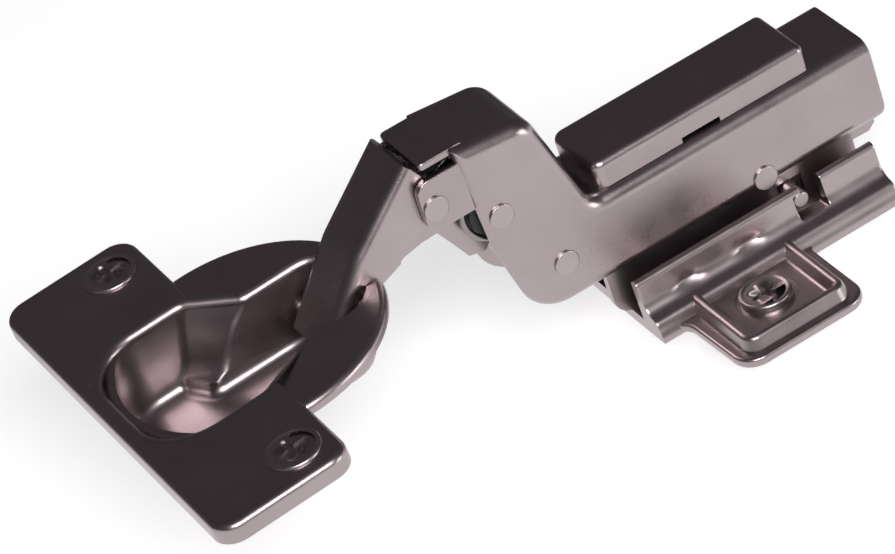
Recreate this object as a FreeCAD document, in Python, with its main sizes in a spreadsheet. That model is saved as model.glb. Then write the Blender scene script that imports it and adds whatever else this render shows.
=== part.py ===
import FreeCAD, Part
import math
import os

import Sketcher
from FreeCAD import Placement, Rotation, Vector

# Concealed cup hinge with a strongly cranked arm, a T-shaped drawn cup and a clip-on mounting plate.
# Millimetres. The origin is the middle of the mounting plate's base, on the line of its two screws.
# +Z leaves the cabinet wall, +X runs along the arm to its rear end, the cup hangs off the front (-X).
# The hinge stands open, as the door would be at about 93 degrees.

doc = FreeCAD.newDocument("ConcealedCupHinge")
sheet = doc.addObject("Spreadsheet::Sheet", "Sizes")
pieces = []


class Size:
    """A length with its number and the spreadsheet formula that gives it."""

    def __init__(self, number, formula):
        self.number = float(number)
        self.formula = formula

    def __add__(self, other):
        other = as_size(other)
        return Size(self.number + other.number, f"({self.formula} + {other.formula})")

    def __radd__(self, other):
        return as_size(other) + self

    def __sub__(self, other):
        other = as_size(other)
        return Size(self.number - other.number, f"({self.formula} - {other.formula})")

    def __rsub__(self, other):
        return as_size(other) - self

    def __mul__(self, factor):
        return Size(self.number * factor, f"({self.formula} * {factor})")

    def __rmul__(self, factor):
        return self * factor

    def __truediv__(self, factor):
        return Size(self.number / factor, f"({self.formula} / {factor})")

    def __neg__(self):
        return Size(-self.number, f"(0 - {self.formula})")


def as_size(value):
    """Gives a plain number the form of a Size."""
    if isinstance(value, Size):
        return value
    return Size(value, repr(float(value)))


def size(alias, number):
    """Writes one driving dimension to the sheet and returns it."""
    row = size.rows + 1
    size.rows = row
    sheet.set(f"A{row}", alias)
    sheet.set(f"B{row}", str(number))
    sheet.setAlias(f"B{row}", alias)
    return Size(number, f"Sizes.{alias}")


size.rows = 0


def bind(target, path, value):
    """Sets one property of an object to a Size's formula."""
    target.setExpression(path, as_size(value).formula)


def new_body(label, place=None, tilt=None, axis=None):
    """Starts a sub-part. place is where its own origin lies, tilt turns it about axis."""
    body = doc.addObject("PartDesign::Body", label)
    body.Label = label
    pieces.append(body)
    if axis is not None:
        body.Placement = Placement(Vector(0, 0, 0), Rotation(axis, as_size(tilt).number))
        if isinstance(tilt, Size):
            bind(body, "Placement.Rotation.Angle", tilt)
    if place is not None:
        for letter, value in zip("xyz", place):
            bind(body, f"Placement.Base.{letter}", value)
    return body


def plane_of(body, role):
    """The body's own origin plane with this role."""
    return next(item for item in body.Origin.OriginFeatures if item.Role == role)


def new_sketch(body, role, shift=None):
    """A sketch on an origin plane of the body, moved along the plane's normal by shift."""
    sketch = body.newObject("Sketcher::SketchObject", f"{body.Name}_sketch")
    sketch.AttachmentSupport = [(plane_of(body, role), "")]
    sketch.MapMode = "FlatFace"
    if shift is not None:
        bind(sketch, "AttachmentOffset.Base.z", shift)
    return sketch


def hold_point(sketch, geometry, spot, across, up):
    """Ties one point of a sketch to its two coordinates."""
    for kind, level, value in (("DistanceX", "Vertical", across), ("DistanceY", "Horizontal", up)):
        value = as_size(value)
        if value.formula == "0.0":
            sketch.addConstraint(Sketcher.Constraint(level, -1, 1, geometry, spot))
            continue
        index = sketch.addConstraint(
            Sketcher.Constraint(kind, -1, 1, geometry, spot, value.number))
        bind(sketch, f"Constraints[{index}]", value)


def add_polygon(sketch, corners):
    """Draws a closed outline through the corners."""
    points = [Vector(as_size(a).number, as_size(b).number, 0) for a, b in corners]
    first = sketch.GeometryCount
    count = len(points)
    for index, point in enumerate(points):
        sketch.addGeometry(Part.LineSegment(point, points[(index + 1) % count]), False)
    for index, (across, up) in enumerate(corners):
        before = first + (index - 1) % count
        sketch.addConstraint(Sketcher.Constraint("Coincident", before, 2, first + index, 1))
        hold_point(sketch, first + index, 1, across, up)


def add_circle(sketch, across, up, radius):
    """Draws a circle at its place."""
    middle = Vector(as_size(across).number, as_size(up).number, 0)
    ring = Part.Circle(middle, Vector(0, 0, 1), as_size(radius).number)
    index = sketch.addGeometry(ring, False)
    hold_point(sketch, index, 3, across, up)
    place = sketch.addConstraint(Sketcher.Constraint("Radius", index, as_size(radius).number))
    bind(sketch, f"Constraints[{place}]", radius)


def rectangle(left, right, low, high):
    """Corners of an upright rectangle."""
    return [(left, low), (right, low), (right, high), (left, high)]


def extrude(body, kind, sketch, length, both_sides=False, backwards=False, taper=None):
    """Adds a Pad or a Pocket of the sketch."""
    feature = body.newObject(f"PartDesign::{kind}", f"{body.Name}_{kind}")
    feature.Profile = sketch
    feature.Type = "Length"
    feature.SideType = "Symmetric" if both_sides else "One side"
    feature.Reversed = backwards
    bind(feature, "Length", length)
    if taper is not None:
        bind(feature, "TaperAngle", taper)
    sketch.Visibility = False
    doc.recompute()
    return feature


def block(body, role, corners, length, shift=None, both_sides=False, backwards=False, kind="Pad",
          taper=None):
    """Pads or pockets a closed outline drawn on one of the body's planes."""
    sketch = new_sketch(body, role, shift)
    add_polygon(sketch, corners)
    return extrude(body, kind, sketch, length, both_sides, backwards, taper)


def disc(body, role, spots, radius, length, shift=None, both_sides=False, backwards=False, kind="Pad"):
    """Pads or pockets equal circles drawn on one of the body's planes."""
    sketch = new_sketch(body, role, shift)
    for across, up in spots:
        add_circle(sketch, across, up, radius)
    return extrude(body, kind, sketch, length, both_sides, backwards)


def pick_edges(body, chooser):
    """Names of the edges of the body's last shape that the chooser takes."""
    return [f"Edge{index}" for index, edge in enumerate(body.Tip.Shape.Edges, 1) if chooser(edge)]


def round_edges(body, radius, chooser, kind="Fillet"):
    """Rounds or chamfers the chosen edges."""
    names = pick_edges(body, chooser)
    if not names:
        raise RuntimeError(f"{body.Label}: no edge to round")
    base = body.Tip
    feature = body.newObject(f"PartDesign::{kind}", f"{body.Name}_{kind}")
    feature.Base = (base, names)
    bind(feature, "Radius" if kind == "Fillet" else "Size", radius)
    base.Visibility = False
    doc.recompute()
    if feature.Shape.isNull() or not feature.Shape.isValid():
        raise RuntimeError(f"{body.Label}: rounding failed")
    return feature


def turn(body, outline, role="XZ_Plane"):
    """Revolves an outline of (radius, height) points about the body's Z axis."""
    sketch = new_sketch(body, role)
    add_polygon(sketch, outline)
    feature = body.newObject("PartDesign::Revolution", f"{body.Name}_Revolution")
    feature.Profile = sketch
    feature.ReferenceAxis = (next(item for item in body.Origin.OriginFeatures if item.Role == "Z_Axis"), [""])
    feature.Angle = 360
    sketch.Visibility = False
    doc.recompute()
    return feature


def runs_along(edge, direction):
    """True for a straight edge parallel to the direction."""
    if edge.Curve.TypeId != "Part::GeomLine":
        return False
    return abs(abs(edge.Curve.Direction.dot(direction)) - 1) < 1e-6


def near(a, b, slack=0.02):
    """True when two numbers are the same within a small slack."""
    return abs(a - b) < slack


ACROSS = Vector(0, 1, 0)
ALONG = Vector(1, 0, 0)
UP = Vector(0, 0, 1)

# Metal thicknesses, pins and running gaps
arm_sheet = size("arm_sheet", 1.1)
link_sheet = size("link_sheet", 1.1)
pin_radius = size("pin_radius", 1.5)
cup_pin_radius = size("cup_pin_radius", 1.1)
inner_pin_radius = size("cup_inner_pin_radius", 0.9)
running_gap = size("running_gap", 0.05)
side_gap = size("side_gap", 0.15)

# Pivots in the hinge arm, as (along, up)
outer_pivot = (size("outer_pivot_x", -32.3), size("outer_pivot_z", 30.0))
inner_pivot = (size("inner_pivot_x", -25.2), size("inner_pivot_z", 24.8))
hook_rivet = (size("hook_rivet_x", -19.3), size("hook_rivet_z", 14.0))
guide_rivet = (size("guide_rivet_x", 8.4), size("guide_rivet_z", 9.75))

# Place and turn of the cup, and its two pivots in the cup's own frame
cup_x = size("cup_x", -58.0)
cup_z = size("cup_z", 23.66)
cup_turn = size("cup_turn", -3.45)
cup_outer_u = size("cup_outer_pivot_u", 9.66)
cup_outer_w = size("cup_outer_pivot_w", -5.98)
cup_inner_u = size("cup_inner_pivot_u", 13.1)
cup_inner_w = size("cup_inner_pivot_w", -3.26)


def from_cup(along, up):
    """A point of the cup's own frame, given in the frame of the whole hinge."""
    turned_x = f"({along.formula} * cos({cup_turn.formula}) + {up.formula} * sin({cup_turn.formula}))"
    turned_z = f"({up.formula} * cos({cup_turn.formula}) - {along.formula} * sin({cup_turn.formula}))"
    angle = math.radians(cup_turn.number)
    across = along.number * math.cos(angle) + up.number * math.sin(angle)
    height = up.number * math.cos(angle) - along.number * math.sin(angle)
    return (cup_x + Size(across, turned_x), cup_z + Size(height, turned_z))


cup_outer_pivot = from_cup(cup_outer_u, cup_outer_w)
cup_inner_pivot = from_cup(cup_inner_u, cup_inner_w)

# Hinge arm: one folded sheet, a channel with its web on top and two cranked walls
arm_half = size("arm_half_width", 6.5)
arm_inner = arm_half - arm_sheet
arm_web_top = size("arm_web_top", 19.6)
arm_bottom = size("arm_bottom", 8.1)
arm_rear = size("arm_rear", 26.2)
hump_top = size("hump_top", 35.9)
hump_rear = size("hump_rear", -18.0)
hump_foot = size("hump_foot", -13.6)
wall_front = size("wall_front", -28.5)
tab_front = size("tab_front", -32.5)
tab_half = size("tab_half_width", 4.9)
nose_half = size("nose_half_width", 5.75)
nose_sheet = size("nose_sheet", 1.0)
nose_front = size("nose_front", -34.0)
nose_low = size("nose_low", 26.9)
nose_high = size("nose_high", 34.0)
bend_radius = size("bend_radius", 1.7)
crank_radius = size("crank_radius", 3.0)
valley_radius = size("valley_radius", 2.0)
front_radius = size("front_radius", 6.0)
arm_corner = size("arm_corner_radius", 2.2)
hump_drop = size("hump_drop", 1.1)
heel_back = size("heel_back", 6.5)
chest_front = size("chest_front", 1.1)
chest_rise = size("chest_rise", 0.4)
inner_shift = size("inner_shift", 0.6)
tab_root = size("tab_root", 1.5)
joggle = size("joggle_overlap", 0.9)
rivet_head = size("rivet_head_radius", 1.65)
rivet_proud = size("rivet_proud", 0.3)

# Damper under the web, and the two adjusting screws behind it
damper_z = size("damper_z", 17.0)
damper_radius = size("damper_radius", 2.6)
damper_front = size("damper_front", -10.3)
damper_rear = size("damper_rear", 2.0)
damper_wall = size("damper_wall", 0.6)
rod_radius = size("rod_radius", 0.8)
rod_front = size("rod_front", -25.2)
window_half = size("window_half_width", 2.35)
window_gap = size("window_gap", 0.3)
side_screw_x = size("side_screw_x", 7.0)
side_screw_radius = size("side_screw_radius", 2.4)
cam_x = size("cam_x", 13.5)
cam_radius = size("cam_radius", 2.3)
cam_throw = size("cam_throw", 1.5)
cam_pin_radius = size("cam_pin_radius", 1.0)

# Cover cap clipped on the web
cap_front = size("cap_front", -12.1)
cap_rear = size("cap_rear", 18.6)
cap_half = size("cap_half_width", 5.2)
cap_top = size("cap_top", 23.3)
cap_wall = size("cap_wall", 0.9)
leg_thick = size("cap_leg_thickness", 0.8)
leg_half = size("cap_leg_half_width", 1.6)
leg_depth = size("cap_leg_depth", 1.6)
rear_leg_x = size("rear_leg_x", 17.0)

# Clip base between arm and plate
plate_floor = size("plate_floor", 1.6)
clip_front = size("clip_front", -14.6)
clip_rear = size("clip_rear", 21.5)
clip_half = arm_inner - size("clip_side_gap", 0.3)
clip_sheet = size("clip_sheet", 1.1)
clip_top = size("clip_top", 14.0)
clip_corner = size("clip_corner_radius", 2.5)
clip_inner = clip_half - clip_sheet
depth_travel = size("depth_travel", 1.5)

# Release latch in the clip base, with the catch pin that lies in the plate's notches
latch_pivot = (size("latch_pivot_x", 14.6), size("latch_pivot_z", 10.2))
latch_pin_radius = size("latch_pin_radius", 1.0)
catch = (size("catch_pin_x", 11.3), size("catch_pin_z", 5.4))
catch_radius = size("catch_pin_radius", 1.1)
latch_half = clip_inner - size("latch_side_gap", 0.4)
latch_sheet = size("latch_sheet", 1.0)



def at_pivot(pivot, along, up):
    """A point beside a pivot."""
    return (pivot[0] + along, pivot[1] + up)


def upright_edges(points, slack=0.05):
    """Chooses the crosswise edges that stand on the given profile points."""
    places = [(as_size(x).number, as_size(z).number) for x, z in points]
    return lambda edge: runs_along(edge, ACROSS) and any(
        near(edge.CenterOfMass.x, x, slack) and near(edge.CenterOfMass.z, z, slack) for x, z in places)


def make_hinge_arm():
    body = new_body("hinge_arm")
    slope_top = (hump_rear, hump_top - hump_drop)
    foot = (hump_foot, arm_web_top)
    heel = (hump_rear - heel_back, arm_bottom)
    chest = (wall_front + chest_front, arm_web_top + chest_rise)
    low_rear = (arm_rear, arm_bottom)
    block(body, "XZ_Plane", [
        (wall_front, hump_top), slope_top, foot, (arm_rear, arm_web_top), low_rear, heel, chest,
    ], 2 * arm_half, both_sides=True)
    for points, radius in (([slope_top], crank_radius), ([foot], valley_radius),
                           ([heel], front_radius), ([chest], front_radius), ([low_rear], arm_corner)):
        round_edges(body, radius, upright_edges(points))
    # the two long bends between the web and the walls
    half = arm_half.number
    web_height = arm_web_top.number
    round_edges(body, bend_radius, lambda edge: near(abs(edge.CenterOfMass.y), half)
                and runs_along(edge, ALONG) and near(edge.CenterOfMass.z, web_height))
    # the hollow of the channel, one sheet inside the outline
    low = arm_bottom - arm_sheet
    block(body, "XZ_Plane", [
        (wall_front - arm_sheet, hump_top - arm_sheet),
        (wall_front, hump_top - arm_sheet),
        (slope_top[0] - inner_shift, slope_top[1] - arm_sheet),
        (hump_foot - 1.27 * arm_sheet, arm_web_top - arm_sheet),
        (arm_rear + arm_sheet, arm_web_top - arm_sheet),
        (arm_rear + arm_sheet, low),
        (wall_front - arm_sheet, low),
    ], 2 * arm_inner, both_sides=True, kind="Pocket")
    # web tab over the nose
    block(body, "XZ_Plane",
          rectangle(tab_front, wall_front + tab_root, hump_top - arm_sheet, hump_top),
          2 * tab_half, both_sides=True)
    # nose plates, set in by one joggle
    plate = rectangle(nose_front, wall_front + joggle, nose_low, nose_high)
    block(body, "XZ_Plane", plate, nose_sheet, shift=nose_half - nose_sheet)
    block(body, "XZ_Plane", plate, nose_sheet, shift=-nose_half)
    corner_x, corner_z = nose_front.number, (nose_low.number, nose_high.number)
    round_edges(body, nose_radius, lambda edge: runs_along(edge, ACROSS)
                and near(edge.CenterOfMass.x, corner_x)
                and min(abs(edge.CenterOfMass.z - z) for z in corner_z) < 0.05)
    # rivet holes
    for spot in (outer_pivot, inner_pivot, hook_rivet, guide_rivet):
        disc(body, "XZ_Plane", [spot], pin_radius, 2 * arm_half + 2, both_sides=True, kind="Pocket")
    # openings in the web for damper, screws and cap legs
    over_web = arm_web_top + arm_sheet
    block(body, "XY_Plane", rectangle(damper_front - window_gap - leg_thick - 2 * window_gap,
                                      damper_rear + window_gap, -window_half, window_half),
          3 * arm_sheet, shift=over_web, kind="Pocket")
    disc(body, "XY_Plane", [(side_screw_x, 0)], side_screw_radius + running_gap, 3 * arm_sheet,
         shift=over_web, kind="Pocket")
    disc(body, "XY_Plane", [(cam_x, 0)], cam_radius + running_gap, 3 * arm_sheet,
         shift=over_web, kind="Pocket")
    reach = leg_half + window_gap
    block(body, "XY_Plane", rectangle(rear_leg_x - window_gap, rear_leg_x + leg_thick + window_gap,
                                      -reach, reach), 3 * arm_sheet, shift=over_web, kind="Pocket")
    return body


nose_radius = size("nose_corner_radius", 1.8)


def make_rivet(label, spot, half):
    """A pin across the hinge with a low head outside each wall."""
    body = new_body(label, (spot[0], 0, spot[1]), -90, Vector(1, 0, 0))
    end = half + rivet_proud
    turn(body, [(0, -end), (rivet_head, -end), (rivet_head, -half), (pin_radius, -half),
                (pin_radius, half), (rivet_head, half), (rivet_head, end), (0, end)])
    tip = end.number
    round_edges(body, rivet_proud * 0.6, lambda edge: near(abs(edge.CenterOfMass.y - body.Placement.Base.y), tip)
                or near(abs(edge.CenterOfMass.z), tip))
    return body



# Outer link: a folded channel, its web towards the cup, hung on the nose and on the cup's outer pin
outer_half = nose_half - nose_sheet - side_gap
outer_inner = outer_half - link_sheet
knuckle_radius = size("knuckle_radius", 2.3)
shoulder_radius = size("shoulder_radius", 2.7)
link_bend = size("link_bend_radius", 1.5)
link_crook = size("link_crook_radius", 9.0)

knuckle_flat = size("knuckle_flat", 1.6)


def make_outer_link():
    body = new_body("outer_link")
    top = at_pivot(outer_pivot, -1.8, 6.6)
    crook = at_pivot(outer_pivot, -11.2, -1.8)
    toe = at_pivot(cup_outer_pivot, -2.9, 0.45)
    block(body, "XZ_Plane", [
        top,
        at_pivot(outer_pivot, -1.0, 5.75),
        at_pivot(outer_pivot, 0.9, 2.55),
        at_pivot(outer_pivot, 1.6, -2.2),
        at_pivot(outer_pivot, -2.3, -2.7),
        at_pivot(outer_pivot, -5.6, -4.5),
        at_pivot(outer_pivot, -6.0, -5.3),
        at_pivot(outer_pivot, -8.7, -6.4),
        at_pivot(cup_outer_pivot, 3.3, 4.7),
        at_pivot(cup_outer_pivot, 1.2, 3.1),
        at_pivot(cup_outer_pivot, knuckle_flat, 1.1),
        at_pivot(cup_outer_pivot, 1.2, -1.9),
        at_pivot(cup_outer_pivot, -1.3, -1.9),
        toe,
        crook,
    ], 2 * outer_half, both_sides=True)
    round_edges(body, link_crook, upright_edges([crook]))
    disc(body, "XZ_Plane", [outer_pivot], shoulder_radius, 2 * outer_half, both_sides=True)
    disc(body, "XZ_Plane", [cup_outer_pivot], knuckle_radius, 2 * outer_half, both_sides=True)
    block(body, "XZ_Plane", rectangle(cup_outer_pivot[0] + knuckle_flat, cup_outer_pivot[0] + 2 * knuckle_radius,
                                      cup_outer_pivot[1] - knuckle_radius, cup_outer_pivot[1] + knuckle_radius),
          2 * outer_half + 1, both_sides=True, kind="Pocket")
    half = outer_half.number
    chord = Vector(top[0].number - toe[0].number, 0, top[1].number - toe[1].number).normalize()

    def on_web(edge):
        if not near(abs(edge.CenterOfMass.y), half):
            return False
        way = edge.CenterOfMass - Vector(toe[0].number, 0, toe[1].number)
        return way.z * chord.x - way.x * chord.z > 0 and edge.Length > 4

    round_edges(body, link_bend, on_web)
    sheet_x, sheet_z = link_sheet * 0.72, link_sheet * -0.70
    block(body, "XZ_Plane", [
        (top[0] + sheet_x + 2.2, top[1] + sheet_z + 2.0),
        (crook[0] + sheet_x, crook[1] + sheet_z),
        (toe[0] + sheet_x - 3.0, toe[1] + sheet_z - 3.9),
        at_pivot(cup_outer_pivot, 4.0, -6.0),
        at_pivot(outer_pivot, 6.0, -6.0),
        at_pivot(outer_pivot, 6.0, 6.0),
    ], 2 * outer_inner, both_sides=True, kind="Pocket")
    disc(body, "XZ_Plane", [outer_pivot], pin_radius + running_gap, 2 * outer_half + 2,
         both_sides=True, kind="Pocket")
    disc(body, "XZ_Plane", [cup_outer_pivot], cup_pin_radius + running_gap, 2 * outer_half + 2,
         both_sides=True, kind="Pocket")
    return body


# Inner link: an arched channel between the arm's inner pivot and the cup's inner pin
inner_half = size("inner_link_half_width", 2.75)
inner_knuckle = size("inner_knuckle_radius", 1.9)
inner_boss = size("inner_boss_radius", 3.2)
inner_flange = size("inner_link_flange", 0.8)


def make_inner_link():
    body = new_body("inner_link")
    arch = [
        at_pivot(inner_pivot, 0, 3.2),
        at_pivot(inner_pivot, -7.2, 2.9),
        at_pivot(inner_pivot, -10.8, 2.4),
        at_pivot(inner_pivot, -14.8, 0.7),
        at_pivot(cup_inner_pivot, -0.9, 1.7),
    ]
    block(body, "XZ_Plane", arch + [
        at_pivot(cup_inner_pivot, -1.2, -1.4),
        at_pivot(cup_inner_pivot, 1.0, -1.6),
        at_pivot(inner_pivot, -15.2, -2.2),
        at_pivot(inner_pivot, -11.7, -0.8),
        at_pivot(inner_pivot, -9.2, -0.3),
        at_pivot(inner_pivot, -7.0, -0.2),
        at_pivot(inner_pivot, -5.8, -2.3),
        at_pivot(inner_pivot, -4.1, -5.5),
        at_pivot(inner_pivot, -1.9, -6.0),
        at_pivot(inner_pivot, 0.8, -3.0),
        at_pivot(inner_pivot, 2.6, -1.5),
    ], 2 * inner_half, both_sides=True)
    disc(body, "XZ_Plane", [inner_pivot], inner_boss, 2 * inner_half, both_sides=True)
    disc(body, "XZ_Plane", [cup_inner_pivot], inner_knuckle, 2 * inner_half, both_sides=True)
    # the channel is open below its arched web
    hollow = inner_half - inner_flange
    web = inner_flange + 0.2
    block(body, "XZ_Plane", [
        at_pivot(inner_pivot, 4.0, 3.2 - web.number),
        (arch[1][0], arch[1][1] - web),
        (arch[2][0], arch[2][1] - web),
        (arch[3][0], arch[3][1] - web),
        at_pivot(cup_inner_pivot, -3.4, 0.2),
        at_pivot(cup_inner_pivot, -3.0, -4.0),
        at_pivot(inner_pivot, 4.0, -8.0),
    ], 2 * hollow, both_sides=True, kind="Pocket")
    disc(body, "XZ_Plane", [inner_pivot], pin_radius + running_gap, 2 * inner_half + 2,
         both_sides=True, kind="Pocket")
    disc(body, "XZ_Plane", [cup_inner_pivot], inner_pin_radius, 2 * inner_half + 2,
         both_sides=True, kind="Pocket")
    return body


# Cup: a drawn T-shaped pot under a round rim and a screw flange, in its own frame
rim_radius = size("rim_radius", 17.5)
rim_depth = size("rim_depth", 1.45)
flange_left = size("flange_left", -19.2)
flange_right = size("flange_right", -1.0)
flange_half = size("flange_half_length", 29.57)
flange_top = size("flange_top", 0.87)
flange_depth = size("flange_depth", 2.6)
flange_corner = size("flange_corner_radius", 3.0)
cup_sheet = size("cup_sheet", 1.0)
pot_left = size("pot_left", -16.9)
pot_step_top = size("pot_step_top", 2.4)
pot_step_low = size("pot_step_low", -5.2)
pot_wide = size("pot_wide_half", 11.4)
pot_narrow = size("pot_narrow_half", 6.6)
pot_right = size("pot_right", 15.2)
pot_depth = size("pot_depth", 9.6)
pot_corner = size("pot_corner_radius", 7.0)
pot_bottom = size("pot_bottom_radius", 2.0)
pot_clip = size("pot_end_clip", 3.0)
link_notch_half = size("link_notch_half", 5.2)
link_notch_depth = size("link_notch_depth", 5.3)
cup_screw_x = size("cup_screw_x", -6.0)
cup_screw_pitch = size("cup_screw_pitch", 48)
cup_hole_radius = size("cup_hole_radius", 2.3)
screw_head = size("screw_head_radius", 3.5)
screw_shank = size("screw_shank_radius", 2.1)
head_rise = size("screw_head_rise", 0.45)


def clipped_end(left, right, half, clip):
    """Corners of a rectangle whose two right corners are cut off."""
    return [(left, -half), (right - clip, -half), (right, clip - half), (right, half - clip),
            (right - clip, half), (left, half)]


def in_cup(label):
    """Starts a sub-part that is drawn in the cup's own frame."""
    return new_body(label, (cup_x, 0, cup_z), cup_turn, Vector(0, 1, 0))


def on_level(level, slack=0.02):
    """Chooses the edges that lie flat at a height."""
    height = as_size(level).number
    return lambda edge: near(edge.BoundBox.ZMin, height, slack) and near(edge.BoundBox.ZMax, height, slack)


def make_cup_shell():
    body = in_cup("cup_shell")
    disc(body, "XY_Plane", [(0, 0)], rim_radius, rim_depth, shift=-rim_depth)
    round_edges(body, cup_sheet * 0.5, on_level(0))
    block(body, "XY_Plane", rectangle(flange_left, flange_right, -flange_half, flange_half),
          flange_depth, shift=flange_top - flange_depth)
    sides = (flange_left.number, flange_right.number)
    long_end = flange_half.number
    round_edges(body, flange_corner, lambda edge: runs_along(edge, UP)
                and near(abs(edge.CenterOfMass.y), long_end)
                and min(abs(edge.CenterOfMass.x - x) for x in sides) < 0.05)
    top = flange_top.number
    round_edges(body, cup_sheet * 0.9, lambda edge: on_level(top)(edge))
    # the flange is folded down round its edge and hollow below
    block(body, "XY_Plane", rectangle(flange_left + cup_sheet, flange_right - cup_sheet,
                                      cup_sheet - flange_half, flange_half - cup_sheet),
          flange_depth - cup_sheet, shift=flange_top - flange_depth, backwards=True, kind="Pocket")
    # outside of the pot
    wide_out = pot_wide + cup_sheet
    block(body, "XZ_Plane", [
        (pot_left - cup_sheet, -0.1), (pot_left - cup_sheet, -pot_depth - cup_sheet),
        (pot_step_low + cup_sheet, -pot_depth - cup_sheet), (pot_step_top + cup_sheet, -0.1),
    ], 2 * wide_out, both_sides=True)
    left_out = pot_left.number - cup_sheet.number
    round_edges(body, pot_corner + cup_sheet, lambda edge: runs_along(edge, UP)
                and near(edge.CenterOfMass.x, left_out) and near(abs(edge.CenterOfMass.y), wide_out.number))
    block(body, "XY_Plane", clipped_end(pot_left + pot_corner, pot_right + cup_sheet,
                                        pot_narrow + cup_sheet, pot_clip + cup_sheet * 0.6),
          pot_depth + cup_sheet - 0.1, shift=-pot_depth - cup_sheet)
    round_edges(body, pot_bottom + cup_sheet * 0.5, on_level(-pot_depth - cup_sheet))
    return body


def make_cup_hollow():
    """The room inside the pot, as a solid that is cut from it."""
    body = in_cup("cup_hollow")
    over = flange_top + cup_sheet
    slope = (pot_step_top - pot_step_low).number / pot_depth.number
    block(body, "XZ_Plane", [
        (pot_left, over), (pot_left, -pot_depth), (pot_step_low, -pot_depth),
        (pot_step_top + over * slope, over),
    ], 2 * pot_wide, both_sides=True)
    left = pot_left.number
    round_edges(body, pot_corner, lambda edge: runs_along(edge, UP) and near(edge.CenterOfMass.x, left))
    block(body, "XY_Plane", clipped_end(pot_left + pot_corner, pot_right, pot_narrow, pot_clip),
          pot_depth + over, shift=-pot_depth)
    round_edges(body, pot_bottom, on_level(-pot_depth))
    return body


def make_cup():
    shell = make_cup_shell()
    hollow = make_cup_hollow()
    for body in (shell, hollow):
        pieces.remove(body)
    block(shell, "XY_Plane", rectangle(pot_right - pot_clip, rim_radius + cup_sheet,
                                       -link_notch_half, link_notch_half),
          link_notch_depth, shift=0, kind="Pocket")
    disc(shell, "XZ_Plane", [(cup_outer_u, cup_outer_w)], cup_pin_radius,
         2 * (pot_narrow + 2 * cup_sheet), both_sides=True, kind="Pocket")
    pitch = cup_screw_pitch / 2
    disc(shell, "XY_Plane", [(cup_screw_x, -pitch), (cup_screw_x, pitch)], cup_hole_radius,
         flange_depth, shift=flange_top, kind="Pocket")
    cup = doc.addObject("Part::Cut", "hinge_cup")
    cup.Base = shell
    cup.Tool = hollow
    cup.Label = "hinge_cup"
    pieces.append(cup)
    doc.recompute()
    return cup


# Mounting plate: a pressed channel with two wings, each a tray with a screw seat
screw_pitch = size("plate_screw_pitch", 32)
rail_front = size("rail_front", -12.7)
rail_rear = size("rail_rear", 22.3)
rail_top = size("rail_top", 7.5)
rail_top_half = size("rail_top_half", 8.75)
rail_foot_half = size("rail_foot_half", 10.0)
rail_step = size("rail_step_height", 2.8)
foot_half = size("foot_half_width", 12.0)
rail_sheet = size("rail_sheet", 1.4)
wing_front = size("wing_front", -8.9)
wing_rear = size("wing_rear", 9.1)
wing_end = size("wing_end", 25.2)
wing_lip = size("wing_lip_height", 1.3)
wing_height = size("wing_height", 3.0)
wing_margin = size("wing_margin", 1.4)
tray_border = size("tray_border", 1.9)
tray_depth = size("tray_depth", 1.5)
wing_corner = size("wing_corner_radius", 3.0)
tray_corner = size("tray_corner_radius", 2.0)
plate_hole_radius = size("plate_hole_radius", 2.2)
plate_head_radius = size("plate_head_radius", 3.3)
notch_lip = size("notch_lip", 0.8)
notch_depth = size("notch_depth", 4.1)
notch_reach = size("notch_reach", 3.1)


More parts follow.
